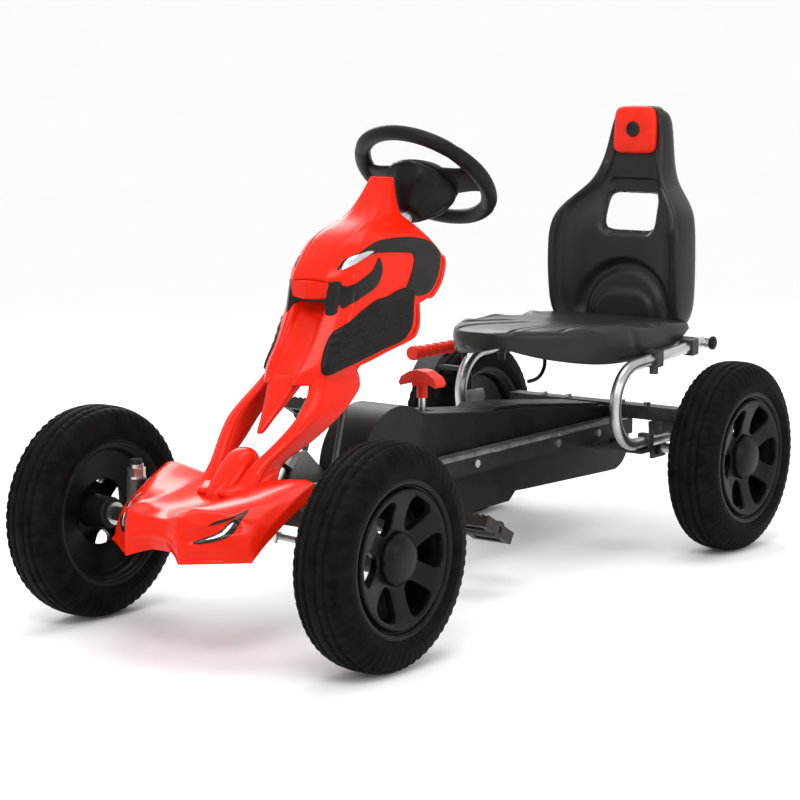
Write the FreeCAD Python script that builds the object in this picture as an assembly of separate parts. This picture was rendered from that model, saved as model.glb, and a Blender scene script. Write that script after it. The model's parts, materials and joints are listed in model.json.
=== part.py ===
import FreeCAD, Part
import math
import os
from FreeCAD import Vector, Placement, Rotation

# Pedal go kart. Millimetres. +X is the driver's left, +Z is up, and the kart drives towards -Y.
# Every shape is drawn with Y = 0 on the front axle and Z = 0 on the ground; save() then moves it
# so that the origin is on the ground under the middle of the whole kart.

# ---- driving dimensions ----
WHEEL_R = 150.0
TYRE_W = 84.0
RIM_R = 97.0                 # barrel of the rim, under the tyre
FLANGE_R = 106.0             # rim edge seen from the side
TRACK = 510.0
WHEELBASE = 909.0
NOSE_REACH = 160.0           # nose tip ahead of the front axle
SEAT_REACH = 1070.0          # back of the seat behind the front axle
AXLE_Z = WHEEL_R

RAIL_X0 = 42.0
RAIL_X1 = 62.0
RAIL_Z0 = 165.0
RAIL_Z1 = 195.0
RAIL_WALL = 2.0
RAIL_END_Y = WHEELBASE + 18.0

KINGPIN_X = 174.0
KINGPIN_R = 8.0
STUB_R = 6.0
ARM_REACH = 54.0             # steering arm behind the kingpin
TIE_Z = 134.0
TIE_R = 4.5

COLUMN_DEG = 48.5            # column above the horizontal
COLUMN_R = 11.0
COLUMN_FOOT = (47.0, 160.0)  # Y, Z of the column's lower end
COLUMN_LEN = 595.0           # foot to steering wheel centre
WHEEL_CORE_R = 101.0
WHEEL_GRIP_R = 12.0
PITMAN_T = 14.0              # plate that carries the tie rods, up the column from its foot
PITMAN_REACH = 24.0
STUD_X = 14.0

CRANK_Y = 371.0
CRANK_Z = 180.0
CRANK_ARM = 92.0
CRANK_DEG = -60.0            # left arm, measured from straight back towards up
SPINDLE_R = 8.0
CASE_HALF = 38.0
CASE_WALL = 2.5
AXLE_R = 8.0
CHAIN_PITCH = 12.7
RING_TEETH = 26
COG_TEETH = 14
CHAIN_LINE = 16.0            # the chain runs left of the middle, clear of the gear lever
CHAIN_X = 4.0                # half width of the chain
LOBE_Y = 325.0               # round front end of the chain case
LOBE_Z = 192.0
LOBE_R = 92.0

SEAT_TUBE_X = 147.0
SEAT_TUBE_R = 9.5
TUBE_WALL = 1.5
BAR_Y = 1005.0
BAR_Z = 313.0
SEAT_SLOPE = math.radians(3.6)

BRAKE_X = -172.0
BRAKE_Y = 790.0
BRAKE_Z = 225.0
SHIFT_Y = 431.0
SHIFT_Z = 228.0

RUN = 0.05                   # radial clearance of a running fit
GAP = 0.3                    # clearance between curved faces that only come close
SHELL = 3.0                  # wall of the moulded fairing

ORIGIN_SHIFT = Vector(0, -0.5 * (SEAT_REACH - NOSE_REACH), 0)


# ---- helpers ----
def save(name, shape):
    """Move a finished sub-part to the kart's origin and write its STEP file."""
    placed = shape.copy()
    placed.translate(ORIGIN_SHIFT)
    solids = placed.Solids
    body = solids[0] if len(solids) == 1 else Part.makeCompound(solids)
    body.exportStep("parts/" + name + ".step")
    volume = sum(s.Volume for s in solids)
    print("%-26s solids %3d  volume %10.0f  valid %s" % (name, len(solids), volume, body.isValid()))


def box(x, y, z):
    """Block from three (low, high) pairs."""
    size = (x[1] - x[0], y[1] - y[0], z[1] - z[0])
    return Part.makeBox(size[0], size[1], size[2], Vector(x[0], y[0], z[0]))


def rod(start, end, radius):
    """Round bar between two points."""
    a = Vector(*start)
    b = Vector(*end)
    return Part.makeCylinder(radius, (b - a).Length, a, b - a)


def disc(x, y, z, radius):
    """Cylinder along X between the two values in x, centred on y, z."""
    return Part.makeCylinder(radius, x[1] - x[0], Vector(x[0], y, z), Vector(1, 0, 0))


def ring(x, y, z, outer, inner):
    """Tube along X."""
    return disc(x, y, z, outer).cut(disc((x[0] - 1, x[1] + 1), y, z, inner))


def face(points):
    """Flat face through points in order."""
    corners = [Vector(*p) for p in points]
    return Part.Face(Part.makePolygon(corners + corners[:1]))


def side_plate(points, x):
    """Plate whose outline is (Y, Z) points, between the two values in x."""
    return face([(x[0], y, z) for y, z in points]).extrude(Vector(x[1] - x[0], 0, 0))


def plan_plate(points, z):
    """Plate whose outline is (X, Y) points, between the two values in z."""
    return face([(px, py, z[0]) for px, py in points]).extrude(Vector(0, 0, z[1] - z[0]))


def front_plate(points, y):
    """Plate whose outline is (X, Z) points, between the two values in y."""
    return face([(px, y[0], pz) for px, pz in points]).extrude(Vector(0, y[1] - y[0], 0))


def both_sides(points):
    """Close a half outline, given from the centre line outwards, with its mirror image."""
    return list(points) + [(-p[0], p[1]) for p in reversed(points) if p[0] != 0]


def mirror(shape):
    """The same piece on the other side of the kart."""
    return shape.mirror(Vector(0, 0, 0), Vector(1, 0, 0))


def bent_wire(points, radii):
    """Straight runs joined by tangent arcs; radii has one value per inner point."""
    nodes = [Vector(*p) for p in points]
    edges = []
    last = nodes[0]
    for before, corner, after, radius in zip(nodes, nodes[1:], nodes[2:], radii):
        into = (corner - before).normalize()
        out = (after - corner).normalize()
        turn = into.getAngle(out)
        back = radius * math.tan(turn / 2)
        first = corner - into * back
        second = corner + out * back
        bisector = (out - into).normalize()
        middle = corner + bisector * (radius / math.cos(turn / 2) - radius)
        edges.append(Part.LineSegment(last, first).toShape())
        edges.append(Part.Arc(first, middle, second).toShape())
        last = second
    edges.append(Part.LineSegment(last, nodes[-1]).toShape())
    return Part.Wire(edges)


def bent_bar(points, radii, radius):
    """Solid round bar along a bent route."""
    path = bent_wire(points, radii)
    start = Vector(*points[0])
    way = Vector(*points[1]) - start
    circle = Part.Wire(Part.makeCircle(radius, start, way))
    return path.makePipeShell([circle], True, True)


def bent_tube(points, radii, radius, wall):
    """Hollow round tube along a bent route."""
    return bent_bar(points, radii, radius).cut(bent_bar(points, radii, radius - wall))


def loft(sections):
    """Ruled solid through closed polygons with equal numbers of corners."""
    wires = []
    for points in sections:
        corners = [Vector(*p) for p in points]
        wires.append(Part.makePolygon(corners + corners[:1]))
    return Part.makeLoft(wires, True, True)


def turned(profile, origin, axis_to):
    """Solid of revolution; profile is (radius, height) points, height runs along axis_to."""
    outline = face([(r, 0, h) for r, h in profile])
    solid = outline.revolve(Vector(0, 0, 0), Vector(0, 0, 1), 360)
    solid.Placement = Placement(Vector(*origin), Rotation(Vector(0, 0, 1), Vector(*axis_to)))
    return solid


# ---- column axis ----
COS_C = math.cos(math.radians(COLUMN_DEG))
SIN_C = math.sin(math.radians(COLUMN_DEG))
COLUMN_WAY = Vector(0, COS_C, SIN_C)
COLUMN_UP = Vector(0, -SIN_C, COS_C)     # square to the column, forward and up


def on_column(t, up=0.0, x=0.0):
    """Point t along the column from its foot, moved up square to it and sideways."""
    foot = Vector(x, COLUMN_FOOT[0], COLUMN_FOOT[1])
    return foot + COLUMN_WAY * t + COLUMN_UP * up


def column_piece(profile, t):
    """Solid of revolution on the column axis, heights counted from t along it."""
    return turned(profile, on_column(t), COLUMN_WAY)


# ---- wheels ----
def tyre(x, y):
    """Foam tyre with rounded shoulders and a shallow centre groove."""
    half = TYRE_W / 2
    bead = RIM_R + GAP
    profile = [(bead, -34), (FLANGE_R + 2, -34), (FLANGE_R + 3, -half + 5), (118, -half), (134, -half + 2),
               (145, -half + 12), (WHEEL_R, -20), (WHEEL_R, -5), (WHEEL_R - 2, -3), (WHEEL_R - 2, 3),
               (WHEEL_R, 5), (WHEEL_R, 20), (145, half - 12), (134, half - 2), (118, half),
               (FLANGE_R + 3, half - 5), (FLANGE_R + 2, 34), (bead, 34)]
    return turned(profile, (x, y, AXLE_Z), (1, 0, 0))


HUB_FLAT = 36.0              # hexagonal middle of a rim, across to each flat
SPOKE_W = 13.0               # half width of a spoke


def rim(x, y, side, bore):
    """Rim: barrel, hexagonal hub and the six spokes between them; side is the outer way."""
    out = Vector(side, 0, 0)
    barrel = turned([(92, -34), (RIM_R, -34), (RIM_R, 36), (FLANGE_R, 37), (FLANGE_R, 40), (100, 41), (92, 34)],
                    (x, y, AXLE_Z), out)
    sleeve = turned([(bore, -36), (22, -36), (24, 0), (24, 22), (bore, 22)], (x, y, AXLE_Z), out)
    corner = HUB_FLAT / math.cos(math.radians(30))
    angles = [math.radians(60 * k) for k in range(6)]
    hexagon = [(y + corner * math.cos(a), AXLE_Z + corner * math.sin(a)) for a in angles]
    hub = side_plate(hexagon, (x, x + side * 14)).cut(disc((x - 60, x + 60), y, AXLE_Z, bore))
    pieces = [barrel, hub.fuse(sleeve).removeSplitter()]
    for k in range(6):
        spoke = face([(x, y - SPOKE_W, AXLE_Z + HUB_FLAT), (x + side * 14, y - SPOKE_W, AXLE_Z + HUB_FLAT),
                      (x + side * 26, y - SPOKE_W, AXLE_Z + 92.5), (x + side * 10, y - SPOKE_W, AXLE_Z + 92.5)])
        spoke = spoke.extrude(Vector(0, 2 * SPOKE_W, 0))
        spoke.rotate(Vector(x, y, AXLE_Z), Vector(1, 0, 0), 60 * k)
        pieces.append(spoke.cut(barrel))
    return Part.makeCompound(pieces)


def hub_cap(x, y, side):
    """Domed cap over the hub."""
    profile = [(0, 22.3), (24.3, 22.3), (24.3, 14.3), (34, 14.3), (38, 16), (36, 22), (28, 29), (14, 33), (0, 34)]
    return turned(profile, (x, y, AXLE_Z), (side, 0, 0))


def wheel_bushes(x, y, side, shaft):
    """Two flanged bushes pressed into the hub from both faces."""
    flanged = [(shaft + RUN, -40), (16, -40), (16, -36), (11, -36), (11, -20), (shaft + RUN, -20)]
    plain = [(shaft + RUN, 4), (11, 4), (11, 21), (shaft + RUN, 21)]
    pair = [turned(p, (x, y, AXLE_Z), (side, 0, 0)) for p in (flanged, plain)]
    return Part.makeCompound(pair)


WHEEL_X = TRACK / 2
WHEELS = {
    "front_left": (1, 0.0),
    "front_right": (-1, 0.0),
    "rear_left": (1, WHEELBASE),
    "rear_right": (-1, WHEELBASE),
}


def save_wheels():
    for place, (side, y) in WHEELS.items():
        x = side * WHEEL_X
        driven = place == "rear_left"
        shaft = STUB_R if y == 0 else AXLE_R
        save("tyre_" + place, tyre(x, y))
        save("rim_" + place, rim(x, y, side, AXLE_R if driven else 11.0))
        save("hub_cap_" + place, hub_cap(x, y, side))
        if not driven:
            save("wheel_bushes_" + place, wheel_bushes(x, y, side, shaft))


# ---- front axle and steering linkage ----
BEAM_Z = (174.0, 196.0)
SLEEVE_Z = (168.0, 205.0)


def front_axle_beam():
    """Square tube across the front with an upright sleeve at each end."""
    reach = KINGPIN_X - 10
    beam = box((-reach, reach), (-11, 11), BEAM_Z)
    beam = beam.cut(box((-reach - 1, reach + 1), (-9, 9), (BEAM_Z[0] + 2, BEAM_Z[1] - 2)))
    for side in (-1, 1):
        x = side * KINGPIN_X
        sleeve = rod((x, 0, SLEEVE_Z[0]), (x, 0, SLEEVE_Z[1]), 14)
        beam = beam.fuse(sleeve)
        beam = beam.cut(rod((x, 0, SLEEVE_Z[0] - 1), (x, 0, SLEEVE_Z[1] + 1), KINGPIN_R + RUN))
    return beam.removeSplitter()


def knuckle():
    """Left stub axle with its kingpin, steering arm and wheel nut."""
    pin = rod((KINGPIN_X, 0, 140), (KINGPIN_X, 0, 232), KINGPIN_R)
    collar = rod((KINGPIN_X, 0, 138), (KINGPIN_X, 0, SLEEVE_Z[0] - GAP), 13)
    stub = disc((KINGPIN_X, WHEEL_X + 21), 0, AXLE_Z, STUB_R)
    shoulder = disc((KINGPIN_X, WHEEL_X - 40 - GAP), 0, AXLE_Z, 10)
    arm_end = (KINGPIN_X - 10, ARM_REACH)
    outline = [(KINGPIN_X - 9, 4), (KINGPIN_X + 9, 4), (arm_end[0] + 9, arm_end[1]), (arm_end[0] + 5, arm_end[1] + 9),
               (arm_end[0] - 5, arm_end[1] + 9), (arm_end[0] - 9, arm_end[1])]
    arm = plan_plate(outline, (TIE_Z + 6, TIE_Z + 11))
    stud = rod((arm_end[0], arm_end[1], TIE_Z - 7), (arm_end[0], arm_end[1], TIE_Z + 7), 3)
    washer = rod((arm_end[0], arm_end[1], TIE_Z - 9), (arm_end[0], arm_end[1], TIE_Z - 6), 7)
    body = pin.fuse([collar, stub, shoulder, arm, stud, washer])
    return body.removeSplitter()


def kingpin_nut():
    """Washer, nut and domed end on top of the left kingpin."""
    x = KINGPIN_X
    washer = rod((x, 0, SLEEVE_Z[1] + GAP), (x, 0, SLEEVE_Z[1] + 3), 13)
    hexagon = [(x + 13 * math.cos(math.radians(60 * k)), 13 * math.sin(math.radians(60 * k))) for k in range(6)]
    nut = plan_plate(hexagon, (SLEEVE_Z[1] + 3, SLEEVE_Z[1] + 15))
    collar = rod((x, 0, SLEEVE_Z[1] + 15), (x, 0, SLEEVE_Z[1] + 20), 10)
    body = washer.fuse([nut, collar])
    return body.cut(rod((x, 0, 200), (x, 0, 240), KINGPIN_R)).removeSplitter()


ARM_END = Vector(KINGPIN_X - 10, ARM_REACH, TIE_Z)
PITMAN_END = on_column(PITMAN_T, -PITMAN_REACH)
TIE_INNER = Vector(STUD_X, PITMAN_END.y, TIE_Z)
EYE_BORE = 6.2               # loose eye: the closed linkage is opened here


def tie_rod():
    """Left tie rod from the steering arm to the column's foot, with an eye at each end."""
    outer = ARM_END
    inner = TIE_INNER
    way = (inner - outer).normalize()
    bar = rod(outer + way * 7, inner - way * 10, TIE_R)
    outer_eye = rod(outer - Vector(0, 0, 5), outer + Vector(0, 0, 5), 9)
    inner_eye = rod(inner - Vector(0, 0, 4), inner + Vector(0, 0, 4), EYE_BORE + 3)
    body = bar.fuse([outer_eye, inner_eye])
    body = body.cut(rod(outer - Vector(0, 0, 9), outer + Vector(0, 0, 9), 3 + RUN))
    body = body.cut(rod(inner - Vector(0, 0, 9), inner + Vector(0, 0, 9), EYE_BORE))
    return body.removeSplitter()


def steering_column():
    """Column tube with a flat foot that carries the two tie rod studs."""
    tube = Part.makeCylinder(COLUMN_R, COLUMN_LEN - 40, on_column(0), COLUMN_WAY)
    foot = Part.makeCylinder(COLUMN_R + 2, 8, on_column(-6), COLUMN_WAY)
    plate = box((-STUD_X - 7, STUD_X + 7), (-3, 3), (-8, PITMAN_REACH + 6))
    plate.Placement = Placement(on_column(PITMAN_T), Rotation(Vector(0, 0, 1), COLUMN_UP * -1))
    body = tube.fuse([foot, plate])
    for side in (-1, 1):
        stud_x = side * STUD_X
        stud = rod((stud_x, PITMAN_END.y, TIE_Z - 10), (stud_x, PITMAN_END.y, PITMAN_END.z + 4), 3)
        body = body.fuse(stud)
    return body.removeSplitter()


def steering_wheel():
    """Padded rim, two wide spokes and a flat centre plate."""
    centre = on_column(COLUMN_LEN)
    grip = Part.makeTorus(WHEEL_CORE_R, WHEEL_GRIP_R, centre, COLUMN_WAY)
    half = [(0, -34), (60, -30), (98, -20), (98, 20), (60, 30), (0, 34)]
    plate = plan_plate(both_sides(half), (-14, -4))
    plate.Placement = Placement(centre, Rotation(Vector(1, 0, 0), COLUMN_UP, COLUMN_WAY, "ZXY"))
    boss = column_piece([(0, -16), (38, -16), (34, 4), (0, 8)], COLUMN_LEN)
    return grip.fuse([plate, boss]).removeSplitter()


def steering_wheel_cover():
    """Bell under the wheel that narrows down to the column."""
    outer = [(54, -16.3), (53, -24), (49, -38), (40, -52), (28, -64), (18, -72)]
    inner = [(COLUMN_R + GAP, -72), (COLUMN_R + GAP, -44), (34, -44), (45, -30), (49, -20), (49, -16.3)]
    return column_piece(outer + inner, COLUMN_LEN)


# ---- frame ----
SUPPORT_Y = (98.0, 186.0)
BRACE_TOP_T = 300.0
LOWER_BUSH_T = 96.0


def frame_rail():
    """Left rail: rectangular tube with a round passage for the crank spindle."""
    rail = box((RAIL_X0, RAIL_X1), (11, RAIL_END_Y), (RAIL_Z0, RAIL_Z1))
    hollow = box((RAIL_X0 + RAIL_WALL, RAIL_X1 - RAIL_WALL), (12, RAIL_END_Y - 2),
                 (RAIL_Z0 + RAIL_WALL, RAIL_Z1 - RAIL_WALL))
    rail = rail.cut(hollow)
    return rail.cut(disc((RAIL_X0 - 1, RAIL_X1 + 1), CRANK_Y, CRANK_Z, 12))


def column_support():
    """Folded gusset, base plate and two thin braces that hold the column's bushes."""
    y0, y1 = SUPPORT_Y
    base = box((-RAIL_X1, RAIL_X1), (y0, y1), (RAIL_Z1, RAIL_Z1 + 4))
    low = on_column(LOWER_BUSH_T)
    cheek = side_plate([(y0, RAIL_Z1 + 4), (y1, RAIL_Z1 + 4), (low.y + 26, low.z + 12), (low.y + 2, low.z + 12)], (15.5, 19.5))
    sleeve = Part.makeCylinder(20, 22, on_column(LOWER_BUSH_T - 11), COLUMN_WAY)
    body = base.fuse([cheek, mirror(cheek), sleeve])
    top = on_column(BRACE_TOP_T)
    for side in (-1, 1):
        foot = (side * 30, y1 - 8, RAIL_Z1 + 2)
        head = (side * 20, top.y, top.z)
        body = body.fuse(rod(foot, head, 4))
    upper = Part.makeCylinder(19, 22, on_column(BRACE_TOP_T - 11), COLUMN_WAY)
    body = body.fuse(upper)
    body = body.cut(Part.makeCylinder(COLUMN_R + 4, 400, on_column(LOWER_BUSH_T - 40), COLUMN_WAY))
    return body.removeSplitter()


REAR_BEAM_Y = (WHEELBASE - 14, WHEELBASE + 14)
FLAT_BAR_Y = (800.0, 834.0)
FLAT_BAR_Z = (RAIL_Z0 - 8, RAIL_Z0 - 2)


def rear_cross_beam():
    """Square tube over the rails with a bearing plate and a strap for the C tube near each wheel."""
    beam = box((-160, 160), REAR_BEAM_Y, (RAIL_Z1, RAIL_Z1 + 22))
    beam = beam.cut(box((-158, 158), (WHEELBASE - 12, WHEELBASE + 12), (RAIL_Z1 + 2, RAIL_Z1 + 20)))
    hanger = [(WHEELBASE - 26, RAIL_Z1), (WHEELBASE + 26, RAIL_Z1), (WHEELBASE + 20, 134), (WHEELBASE - 20, 134)]
    body = beam
    for side in (-1, 1):
        low, high = sorted((side * 118, side * 124))
        plate = side_plate(hanger, (low, high)).cut(disc((low - 1, high + 1), WHEELBASE, AXLE_Z, AXLE_R + 5))
        strap = box(sorted((side * 136, side * 158)), (WHEELBASE - 12, WHEELBASE + 12), (TUBE_LOW_Z - 6, RAIL_Z1))
        body = body.fuse([plate, strap]).cut(seat_tube_low_run(side))
    return body.removeSplitter()


SEAT_BEND_R = 62.0
TUBE_FRONT_Y = 735.0
TUBE_LOW_Z = 173.0


def seat_tube_route(x):
    """Centre line of one C-shaped seat tube, from its upper to its lower end."""
    rise = math.tan(SEAT_SLOPE)
    corner_z = BAR_Z - (BAR_Y - TUBE_FRONT_Y) * rise
    return [(x, BAR_Y, BAR_Z), (x, TUBE_FRONT_Y, corner_z), (x, TUBE_FRONT_Y, TUBE_LOW_Z), (x, WHEELBASE + 50, TUBE_LOW_Z)]


def seat_tube(x):
    """One C-shaped tube that carries a side of the seat."""
    return bent_tube(seat_tube_route(x), [SEAT_BEND_R, SEAT_BEND_R], SEAT_TUBE_R, TUBE_WALL)


BRAKE_PLATE_X = (-SEAT_TUBE_X - 2, -SEAT_TUBE_X + 2)


def brake_plate():
    """Plate inside the bend of the right seat tube that carries the brake's pivot."""
    outline = [(TUBE_FRONT_Y + 2, BRAKE_Z - 14), (BRAKE_Y + 6, BRAKE_Z - 12), (BRAKE_Y + 12, BRAKE_Z),
               (BRAKE_Y + 6, BRAKE_Z + 12), (TUBE_FRONT_Y + 2, BRAKE_Z + 14)]
    plate = side_plate(outline, BRAKE_PLATE_X)
    return plate.cut(bent_bar(seat_tube_route(-SEAT_TUBE_X), [SEAT_BEND_R, SEAT_BEND_R], SEAT_TUBE_R - TUBE_WALL))


def seat_tube_low_run(side):
    """Space taken by the straight lower run of a C tube."""
    return rod((side * SEAT_TUBE_X, 740, TUBE_LOW_Z), (side * SEAT_TUBE_X, 1000, TUBE_LOW_Z), SEAT_TUBE_R)


def seat_frame_beam():
    """Flat bar under the rails whose turned-up ends hold the C tubes."""
    y0, y1 = FLAT_BAR_Y
    body = box((-156, 156), FLAT_BAR_Y, FLAT_BAR_Z)
    for side in (-1, 1):
        low, high = sorted((side * (RAIL_X1 + 0.5), side * RAIL_X0))
        body = body.fuse(box((low, high), (y0 + 5, y1 - 5), (RAIL_Z0 - 2, RAIL_Z0)))
        low, high = sorted((side * 136, side * 158))
        clamp = box((low, high), (y1 - 12, y1), (FLAT_BAR_Z[0], TUBE_LOW_Z + 13))
        body = body.fuse(clamp).cut(seat_tube_low_run(side))
    return body.removeSplitter()


def seat_cross_bar():
    """Straight tube across the back ends of the seat tubes."""
    bar = ring((-163, 163), BAR_Y, BAR_Z, SEAT_TUBE_R, SEAT_TUBE_R - TUBE_WALL)
    for side in (-1, 1):
        bar = bar.cut(bent_bar(seat_tube_route(side * SEAT_TUBE_X), [SEAT_BEND_R, SEAT_BEND_R], SEAT_TUBE_R))
    return bar


def cross_bar_caps():
    """Plastic plugs in both ends of the cross bar."""
    bore = SEAT_TUBE_R - TUBE_WALL
    lip = SEAT_TUBE_R + 1.5
    profile = [(0, 0), (bore, 0), (bore, 6), (lip, 6), (lip, 10), (6, 13), (0, 13)]
    plug = turned(profile, (157, BAR_Y, BAR_Z), (1, 0, 0))
    return Part.makeCompound([plug, mirror(plug)])


# ---- chain case and drive ----
def case_outline(margin):
    """Side outline of the chain case, shrunk by margin: two round ends and a body between them."""
    front = disc((-200, 200), LOBE_Y, LOBE_Z, LOBE_R - margin)
    rear = disc((-200, 200), WHEELBASE - 2, 152, 48 - margin)
    m = margin
    top = [(LOBE_Y + 40, 264 - m), (565, 242 - m), (640, 239 - m), (900, 208 - m), (930, 190 - m)]
    bottom = [(900, 104 + m), (648, 112 + m), (622 - m, 113.5 + m), (604 - m, 100 + m), (LOBE_Y - 10, 98 + m), (LOBE_Y - 40, 150)]
    body = side_plate(top + bottom, (-200, 200))
    return front.fuse([rear, body]).removeSplitter()


def shift_slot():
    """Passage for the shift lever through the top of the case and its lid."""
    return box((-8, 8), (SHIFT_Y - 24, SHIFT_Y + 24), (SHIFT_Z + 4, 300))


def chain_case(side):
    """One half of the chain case: an open shell with bosses that meet the rail."""
    limits = sorted((0, side * CASE_HALF))
    inner_limits = sorted((-side, side * (CASE_HALF - CASE_WALL)))
    outer = case_outline(0).common(box(limits, (200, 1000), (50, 320)))
    inner = case_outline(CASE_WALL).common(box(inner_limits, (200, 1000), (50, 320)))
    shell = outer.cut(inner)
    for y in (480.0, 700.0):
        shell = shell.fuse(disc(sorted((side * (CASE_HALF - 2), side * RAIL_X0)), y, 180, 9))
    shell = shell.cut(disc((-60, 60), CRANK_Y, CRANK_Z, SPINDLE_R + 10))
    shell = shell.cut(disc((-60, 60), WHEELBASE, AXLE_Z, AXLE_R + 6))
    shell = shell.cut(shift_slot())
    shell = shell.cut(box((-60, 60), REAR_BEAM_Y, (RAIL_Z1, RAIL_Z1 + 40)))
    shell = shell.cut(box((-60, 60), FLAT_BAR_Y, FLAT_BAR_Z))
    if side < 0:
        boss = ring((-CASE_HALF + 1, -12 - GAP), SHIFT_Y, SHIFT_Z, 9, 4 + RUN)
        shell = shell.fuse(boss)
    if side > 0:
        for radius in (50.0, 66.0, 82.0):
            arc_rib = ring((CASE_HALF - 1, CASE_HALF + 1.5), LOBE_Y, LOBE_Z, radius, radius - 3)
            arc_rib = arc_rib.cut(box((0, 60), (100, 500), (170, 400)))
            shell = shell.fuse(arc_rib)
    return shell.removeSplitter()


def chain_case_lid():
    """Flat cover along the top of the case with a raised rear part."""
    half = CASE_HALF + 1.5
    top = [(372, 263.3), (565, 242), (640, 239), (880, 210.4)]
    upper = [(y, z + 3.5) for y, z in reversed(top)]
    cover = side_plate(top + upper, (-half, half))
    raised = side_plate([(566, 245), (640, 242), (866, 215), (866, 220), (640, 247), (574, 250)], (-half + 5, half - 5))
    cover = cover.fuse(raised)
    cover = cover.cut(disc((-60, 60), LOBE_Y, LOBE_Z, LOBE_R + GAP))
    return cover.cut(shift_slot()).removeSplitter()


def toothed_disc(teeth, x, y, z, bore):
    """Chain wheel with tapered teeth."""
    pitch_r = CHAIN_PITCH / (2 * math.sin(math.pi / teeth))
    outline = []
    for k in range(teeth):
        for part, radius in ((-0.32, pitch_r - 4), (-0.12, pitch_r + 2.2), (0.12, pitch_r + 2.2), (0.32, pitch_r - 4)):
            angle = 2 * math.pi * (k + part) / teeth
            outline.append((y + radius * math.cos(angle), z + radius * math.sin(angle)))
    plate = side_plate(outline, x)
    return plate.cut(disc((x[0] - 1, x[1] + 1), y, z, bore)), pitch_r


def chainring():
    """Front chain wheel with five round openings, fixed to the crank spindle."""
    plate, pitch_r = toothed_disc(RING_TEETH, (-1.5, 1.5), CRANK_Y, CRANK_Z, SPINDLE_R)
    for k in range(5):
        angle = 2 * math.pi * k / 5
        hole_y = CRANK_Y + 31 * math.cos(angle)
        hole_z = CRANK_Z + 31 * math.sin(angle)
        plate = plate.cut(disc((-3, 3), hole_y, hole_z, 10))
    wheel = plate.fuse(ring((-8, 8), CRANK_Y, CRANK_Z, 15, SPINDLE_R)).removeSplitter()
    return wheel.translated(Vector(CHAIN_LINE, 0, 0))


def rear_sprocket():
    """Rear chain wheel with its hub, fixed to the axle."""
    plate, pitch_r = toothed_disc(COG_TEETH, (-1.5, 1.5), WHEELBASE, AXLE_Z, AXLE_R)
    wheel = plate.fuse(ring((-12, 12), WHEELBASE, AXLE_Z, 16, AXLE_R)).removeSplitter()
    return wheel.translated(Vector(CHAIN_LINE, 0, 0))


def chain_band(inner_add, half_width):
    """Closed belt-shaped band around both chain wheels, inner_add outside the pitch line."""
    big = CHAIN_PITCH / (2 * math.sin(math.pi / RING_TEETH)) + inner_add
    small = CHAIN_PITCH / (2 * math.sin(math.pi / COG_TEETH)) + inner_add
    dy = WHEELBASE - CRANK_Y
    dz = AXLE_Z - CRANK_Z
    span = math.hypot(dy, dz)
    lean = math.atan2(dz, dy)
    tilt = math.acos((big - small) / span)
    corners = []
    for angle, centre, radius in ((lean + tilt, (CRANK_Y, CRANK_Z), big), (lean + tilt, (WHEELBASE, AXLE_Z), small),
                                  (lean - tilt, (WHEELBASE, AXLE_Z), small), (lean - tilt, (CRANK_Y, CRANK_Z), big)):
        corners.append((centre[0] + radius * math.cos(angle), centre[1] + radius * math.sin(angle)))
    x = (-half_width, half_width)
    body = side_plate(corners, x)
    return body.fuse([disc(x, CRANK_Y, CRANK_Z, big), disc(x, WHEELBASE, AXLE_Z, small)])


def drive_chain():
    """Chain as one closed band of its true route and width."""
    band = chain_band(7.0, CHAIN_X).cut(chain_band(3.0, CHAIN_X + 1)).removeSplitter()
    return band.translated(Vector(CHAIN_LINE, 0, 0))


def crank_tip(side):
    """Y, Z of a pedal pin."""
    angle = math.radians(CRANK_DEG)
    return (CRANK_Y + side * CRANK_ARM * math.cos(angle), CRANK_Z + side * CRANK_ARM * math.sin(angle))


ARM_X = (66.0, 75.0)
PEDAL_X = (84.0, 150.0)
PEDAL_TILT = -30.0


def crank():
    """Spindle, two flat arms and the pedal pins."""
    body = disc((-ARM_X[1], ARM_X[1]), CRANK_Y, CRANK_Z, SPINDLE_R)
    for side in (-1, 1):
        tip = crank_tip(side)
        low, high = sorted((side * ARM_X[0], side * ARM_X[1]))
        bar = box((low, high), (0, CRANK_ARM), (-11, 11))
        turn = CRANK_DEG if side > 0 else CRANK_DEG + 180
        bar.rotate(Vector(0, 0, 0), Vector(1, 0, 0), turn)
        bar.translate(Vector(0, CRANK_Y, CRANK_Z))
        pin = disc(sorted((side * ARM_X[0], side * (PEDAL_X[1] - 4))), tip[0], tip[1], 5)
        collar = disc(sorted((side * ARM_X[1], side * (ARM_X[1] + 5))), tip[0], tip[1], 8)
        body = body.fuse([bar, disc((low, high), CRANK_Y, CRANK_Z, 17), disc((low, high), tip[0], tip[1], 12), pin, collar])
    return body.removeSplitter()


def pedal(side):
    """Platform pedal: two treads joined around a hub, with two slots."""
    tip = crank_tip(side)
    limits = sorted((side * PEDAL_X[0], side * PEDAL_X[1]))
    body = box(limits, (tip[0] - 37, tip[0] + 37), (tip[1] - 9, tip[1] + 9))
    body = body.fuse(disc(limits, tip[0], tip[1], 13))
    for shift in (-23, 23):
        slot = box((limits[0] + 10, limits[1] - 10), (tip[0] + shift - 7, tip[0] + shift + 7), (tip[1] - 20, tip[1] + 20))
        body = body.cut(slot)
    for shift in (-34, 34):
        for k in range(6):
            notch_x = limits[0] + 8 + 10 * k
            notch = box((notch_x, notch_x + 5), (tip[0] + shift - 4, tip[0] + shift + 4), (tip[1] + 6, tip[1] + 12))
            body = body.cut(notch)
    body = body.cut(disc((limits[0] - 1, limits[1] + 1), tip[0], tip[1], 5 + RUN))
    body.rotate(Vector(0, tip[0], tip[1]), Vector(1, 0, 0), PEDAL_TILT)
    return body.removeSplitter()


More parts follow.
